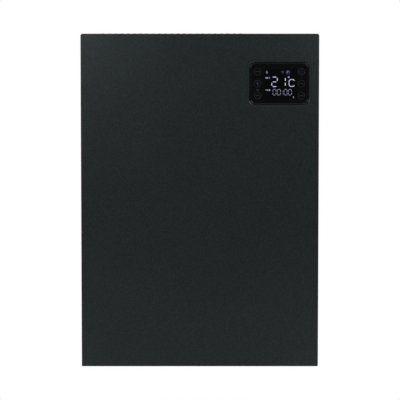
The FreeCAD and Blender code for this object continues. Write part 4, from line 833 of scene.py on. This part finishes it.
# Signs in the keys and the label between two of them: the middle, width and height of each bar
KEY_BARS = (
    (KEY_LEFT, KEY_TOP, 7.8, 1.0),
    (KEY_LEFT, KEY_LOW, 6.2, 1.2),
    (KEY_RIGHT, KEY_TOP + 2.3, 0.7, 2.4),
    (KEY_RIGHT - 2.4, KEY_MIDDLE, 1.5, 1.3),
    (KEY_RIGHT, KEY_MIDDLE, 1.5, 1.3),
    (KEY_RIGHT + 2.4, KEY_MIDDLE, 1.5, 1.3),
    (KEY_RIGHT, KEY_LOW + 0.9, 7.4, 0.7),
    (KEY_RIGHT, KEY_LOW - 0.9, 7.4, 0.7),
)
LABEL_BARS = (
    (KEY_LEFT, KEY_MIDDLE, 6.4, 1.3),
    (KEY_LEFT, KEY_MIDDLE + 2.1, 1.3, 2.8),
    (KEY_LEFT, KEY_MIDDLE - 2.1, 1.3, 2.8),
    (KEY_LEFT - 1.4, LABEL_ROW, 2.0, 2.6),
    (KEY_LEFT + 1.4, LABEL_ROW, 2.0, 2.6),
)


def touch_marks():
    """A ring round each key, and bars, dots and a switch sign inside."""
    faces = []
    for x in (KEY_LEFT, KEY_RIGHT):
        for z in (KEY_TOP, KEY_MIDDLE, KEY_LOW):
            faces += arc_band(x, z, KEY_RADIUS, KEY_RADIUS - KEY_STROKE, count=KEY_COUNT)
    faces += arc_band(KEY_RIGHT, KEY_TOP - SWITCH_DROP, **SWITCH_ARC) + bars(KEY_BARS)
    glass_print("touch_marks", faces, "key_print", KEY_RISE)


def touch_labels():
    """A plus of three bars in the middle left key, and a label of two bars under it."""
    glass_print("touch_labels", bars(LABEL_BARS), "key_label_print", KEY_RISE)


# Rim around the control, in millimetres: the panel's pressed lip and the bezel's bead, swept round it

ARC_STEPS = 5
CORNER_STEPS = 12


def rounded_profile(start, *arcs):
    """Points from a start point inwards: each arc has a radius and turns from slope to slope, in degrees."""
    points = [start]
    for radius, first, last in arcs:
        outside, ahead = points[-1]
        begin = math.radians(first)
        for i in range(1, ARC_STEPS + 1):
            turn = math.radians(first + (last - first) * i / ARC_STEPS)
            points.append((outside + radius * (math.sin(turn) - math.sin(begin)),
                           ahead + radius * (math.cos(turn) - math.cos(begin))))
    return points


OPENING_WIDTH, OPENING_HEIGHT, OPENING_RADIUS = 108.4, 77.3, 11.5
LIP_FOOT = [(0.1, -0.6), (4.8, -0.6), (4.8, -0.05)]
LIP_PROFILE = rounded_profile((1.75, 0.66), (0.5, 12, -28), (6.0, -28, -44)) + LIP_FOOT
BEAD_FOOT = [(-2.6, -0.62), (-2.1, -0.62)]
BEAD_PROFILE = rounded_profile((-1.9, -0.37), (1.2, 46, 26), (0.4, 26, -26), (0.7, -26, -65)) + BEAD_FOOT


def sweep_round_opening(name, profile, material):
    """A closed ring round the control, from a profile of how far outside the opening and how far in front."""
    shape = bmesh.new()
    loops = []
    for outside, ahead in profile:
        outline = rounded_plate(OPENING_WIDTH + 2 * outside, OPENING_HEIGHT + 2 * outside,
                                OPENING_RADIUS + outside, steps=CORNER_STEPS)
        front = PANEL_FRONT - ahead * MM
        loops.append([shape.verts.new((GLASS_MIDDLE.x + x * MM, front, GLASS_MIDDLE.z + z * MM))
                      for x, z in outline])
    skin(shape, loops + loops[:1])
    add_piece(name, shape, material, "heater", smooth_angle=60)


def control_rim():
    sweep_round_opening("window_lip", LIP_PROFILE, "window_lip")
    sweep_round_opening("bezel_bead", BEAD_PROFILE, "bezel_plastic")


# Screws through the back, with pan heads and cross recesses

REAR_SCREW_NODES = ("rear_panel_screws", "partition_screws", "element_bracket_screws", "reflector_screws",
                    "standoff_screws")
REAR_SHEET = 0.8 * MM
REAR_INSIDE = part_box("rear_panel")[0].y
REAR_FACE = REAR_INSIDE + REAR_SHEET
SHANK_SHARE = 1.75 / 3.6
TIP_SHARE = 0.5
CROSS_LENGTH, CROSS_HALF, CROSS_DEPTH = 1.75 * MM, 0.42 * MM, 1.2 * MM
CROSS_TAPER = 0.7
CIRCLE_COUNT = 32
FIRST_TURN, NEXT_TURN = 0.6, 1.9

# The head's side from its seat to its flat top, as shares of its radius and of its height
HEAD_SIDE = ((1.0, 0.0), (1.0, 0.4), (0.94, 0.66), (0.8, 0.86), (0.62, 1.0))


def loop_edges(shape, loop):
    """The edges round a loop of corners, made where they are missing."""
    pairs = list(zip(loop, loop[1:] + loop[:1]))
    return [shape.edges.get(pair) or shape.edges.new(pair) for pair in pairs]


def cross_corners(turn):
    """The twelve corners of a cross, turned by an angle."""
    arm = ((CROSS_LENGTH, -CROSS_HALF), (CROSS_LENGTH, CROSS_HALF), (CROSS_HALF, CROSS_HALF))
    spins = [Matrix.Rotation(turn + quarter * QUARTER_TURN, 2) for quarter in range(4)]
    return [spin @ Vector(corner) for spin in spins for corner in arm]


def pan_screw(shape, centre, crown, tip, radius, turn):
    """A pan-head screw along Y, its head on the rear face, with a cross recess turned by an angle."""
    shank = radius * SHANK_SHARE
    profile = [(shank * TIP_SHARE, tip), (shank, tip + shank), (shank, REAR_FACE)]
    profile += [(radius * reach, REAR_FACE + (crown - REAR_FACE) * up) for reach, up in HEAD_SIDE]
    rings = []
    for reach, along in profile:
        circle = circle_points(centre.x, centre.z, reach, CIRCLE_COUNT)
        rings.append([shape.verts.new((x, along, z)) for x, z in circle])
    skin(shape, rings)
    shape.faces.new(rings[0])
    mouth, floor = [], []
    for corner in cross_corners(turn):
        mouth.append(shape.verts.new((centre.x + corner.x, crown, centre.z + corner.y)))
        corner *= CROSS_TAPER
        floor.append(shape.verts.new((centre.x + corner.x, crown - CROSS_DEPTH, centre.z + corner.y)))
    top = loop_edges(shape, rings[-1]) + loop_edges(shape, mouth)
    bmesh.ops.triangle_fill(shape, edges=top, use_beauty=True, use_dissolve=False)
    skin(shape, [mouth, floor])
    shape.faces.new(floor)


def rear_screws():
    for name in REAR_SCREW_NODES:
        shape = bmesh.new()
        for number, (low, high) in enumerate(islands(name)):
            radius = (high.x - low.x) / 2
            pan_screw(shape, (low + high) / 2, high.y, low.y, radius, FIRST_TURN + NEXT_TURN * number)
        swap_node(name, shape, "zinc_fasteners", smooth_angle=35)


# Turned pieces, in millimetres: the wall bumpers and the ribbed cap of the gland

SIDE_X = Vector((1, 0, 0))
SIDE_Y = Vector((0, 1, 0))
SIDE_Z = Vector((0, 0, 1))


def turned_ring(shape, middle, across, radii):
    """A ring of corners round a middle point in the plane of two directions, with radii in millimetres."""
    first, second = across
    ring = []
    for i, radius in enumerate(radii):
        turn = 2 * math.pi * i / len(radii)
        outward = first * math.cos(turn) + second * math.sin(turn)
        ring.append(shape.verts.new(middle + outward * radius * MM))
    return ring


BUMPER_COUNT = 40
BUMPER_BORE, BUMPER_NECK = 0.6, 4.0
BUMPER_BARB, BARB_TAPER, BARB_STRAIGHT = 5.5, 2.0, 0.8
BUMPER_PAD = 10.0
BUMPER_COLLAR, COLLAR_ROUND = 1.6, 0.8

# The pad beyond its collar: how far inside the pad's radius and how far from the wall
PAD_SIDE = ((1.2, 5.0), (1.4, 1.6), (2.2, 0.4), (3.4, 0.0), (5.2, 0.0), (6.0, 0.8))
PAD_DISH = 1.2


def bumper_profile(tip):
    """Radius and place along Y in millimetres, from the barb's tip in the case to the dished pad."""
    inside, face = REAR_INSIDE / MM, REAR_FACE / MM
    barb = [(BUMPER_BORE, tip), (BUMPER_BARB - BARB_TAPER, tip), (BUMPER_BARB, inside - BARB_STRAIGHT),
            (BUMPER_BARB, inside), (BUMPER_NECK, inside)]
    collar = [(BUMPER_NECK, face), (BUMPER_PAD, face), (BUMPER_PAD, face + BUMPER_COLLAR),
              (BUMPER_PAD - COLLAR_ROUND, face + BUMPER_COLLAR + COLLAR_ROUND)]
    pad = [(BUMPER_PAD - inset, -gap) for inset, gap in PAD_SIDE]
    return barb + collar + pad + [(BUMPER_BORE, -PAD_DISH)]


def bumpers():
    shape = bmesh.new()
    for low, high in islands("wall_bumpers"):
        middle = Vector(((low.x + high.x) / 2, 0, (low.z + high.z) / 2))
        rings = [turned_ring(shape, middle + SIDE_Y * along * MM, (SIDE_X, SIDE_Z), [radius] * BUMPER_COUNT)
                 for radius, along in bumper_profile(low.y / MM)]
        skin(shape, rings + rings[:1])
    swap_node("wall_bumpers", shape, "bumper_rubber", smooth_angle=40)


CAP_COUNT, CAP_RIBS, CAP_RIB_DEPTH = 96, 24, 0.45
CAP_SOCKET, CAP_MOUTH, CAP_END = 6.7, 4.4, 1.5
CAP_MOUTH_ROUND, CAP_RIM_ROUND = 0.5, 0.3

# The cap's rounded nose: how far inside its radius and how far above its low end
CAP_NOSE = ((1.2, 0.0), (0.4, 0.5), (0.0, 1.1))


def cap_profile(outer, low, high):
    """Radius and height in millimetres, from the mouth round the outside to the socket."""
    nose = [(outer - inset, low + up) for inset, up in CAP_NOSE]
    rim = [(outer, high - CAP_RIM_ROUND), (outer - CAP_RIM_ROUND, high)]
    socket = [(CAP_SOCKET, high), (CAP_SOCKET, low + CAP_END), (CAP_MOUTH, low + CAP_END)]
    return [(CAP_MOUTH + CAP_MOUTH_ROUND, low)] + nose + rim + socket + [(CAP_MOUTH, low + CAP_MOUTH_ROUND)]


def ribbed(radius, outer):
    """Radii round a ring of the cap: the widest rings are grooved."""
    grooves = [radius == outer and (i * CAP_RIBS * 2 // CAP_COUNT) % 2 for i in range(CAP_COUNT)]
    return [radius - CAP_RIB_DEPTH if groove else radius for groove in grooves]


def gland_cap():
    low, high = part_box("gland_cap")
    middle = Vector(((low.x + high.x) / 2, (low.y + high.y) / 2, 0))
    outer = (high.x - low.x) / 2 / MM
    shape = bmesh.new()
    rings = [turned_ring(shape, middle + SIDE_Z * height * MM, (SIDE_X, SIDE_Y), ribbed(radius, outer))
             for radius, height in cap_profile(outer, low.z / MM, high.z / MM)]
    skin(shape, rings + rings[:1])
    swap_node("gland_cap", shape, "black_plastic", smooth_angle=30)


# Signs on the rocker, in millimetres: a stroke for on and a ring for off

(ROCKER_JOINT,) = (joint for joint in frame["joints"] if joint["name"] == "rocker_pivot")
ROCKER_TILT = math.radians(-sum(ROCKER_JOINT["range_deg"]) / 2)
ROCKER_HALF, ROCKER_EDGE, ROCKER_VALLEY = 8.0, 4.2, 2.7
ROCKER_SLOPE = math.atan2(ROCKER_EDGE - ROCKER_VALLEY, ROCKER_HALF)
SIGN_PLACE = 0.52 * ROCKER_HALF
SIGN_SINK, SIGN_RISE = 0.03, 0.07
STROKE_WIDTH, STROKE_LENGTH = 0.7, 3.2
OFF_RING = {"outer": 1.7, "inner": 1.1, "count": 28}


def rocker_signs():
    tilt = Matrix.Translation(ROCKER_JOINT["pos_m"]) @ Matrix.Rotation(ROCKER_TILT, 4, "Y")
    facing_down = Matrix.Rotation(math.pi, 4, "X")
    depth = ROCKER_VALLEY + SIGN_PLACE * math.tan(ROCKER_SLOPE)
    shape = bmesh.new()
    for side, faces in ((-1, bar(0, 0, STROKE_WIDTH, STROKE_LENGTH)), (1, arc_band(0, 0, **OFF_RING))):
        spot = Matrix.Translation(Vector((side * SIGN_PLACE, 0, -depth)) * MM)
        place = tilt @ spot @ Matrix.Rotation(side * ROCKER_SLOPE, 4, "Y") @ facing_down
        add_print(shape, faces, SIGN_SINK, SIGN_RISE, place)
    add_piece("rocker_signs", shape, "sign_print", "rocker")


make_camera()
make_lamps()
make_world()
make_floor()
dress_cad()
display_window()
display_temperature()
display_clock()
display_marks()
display_icons()
touch_marks()
touch_labels()
control_rim()
rear_screws()
bumpers()
gland_cap()
rocker_signs()
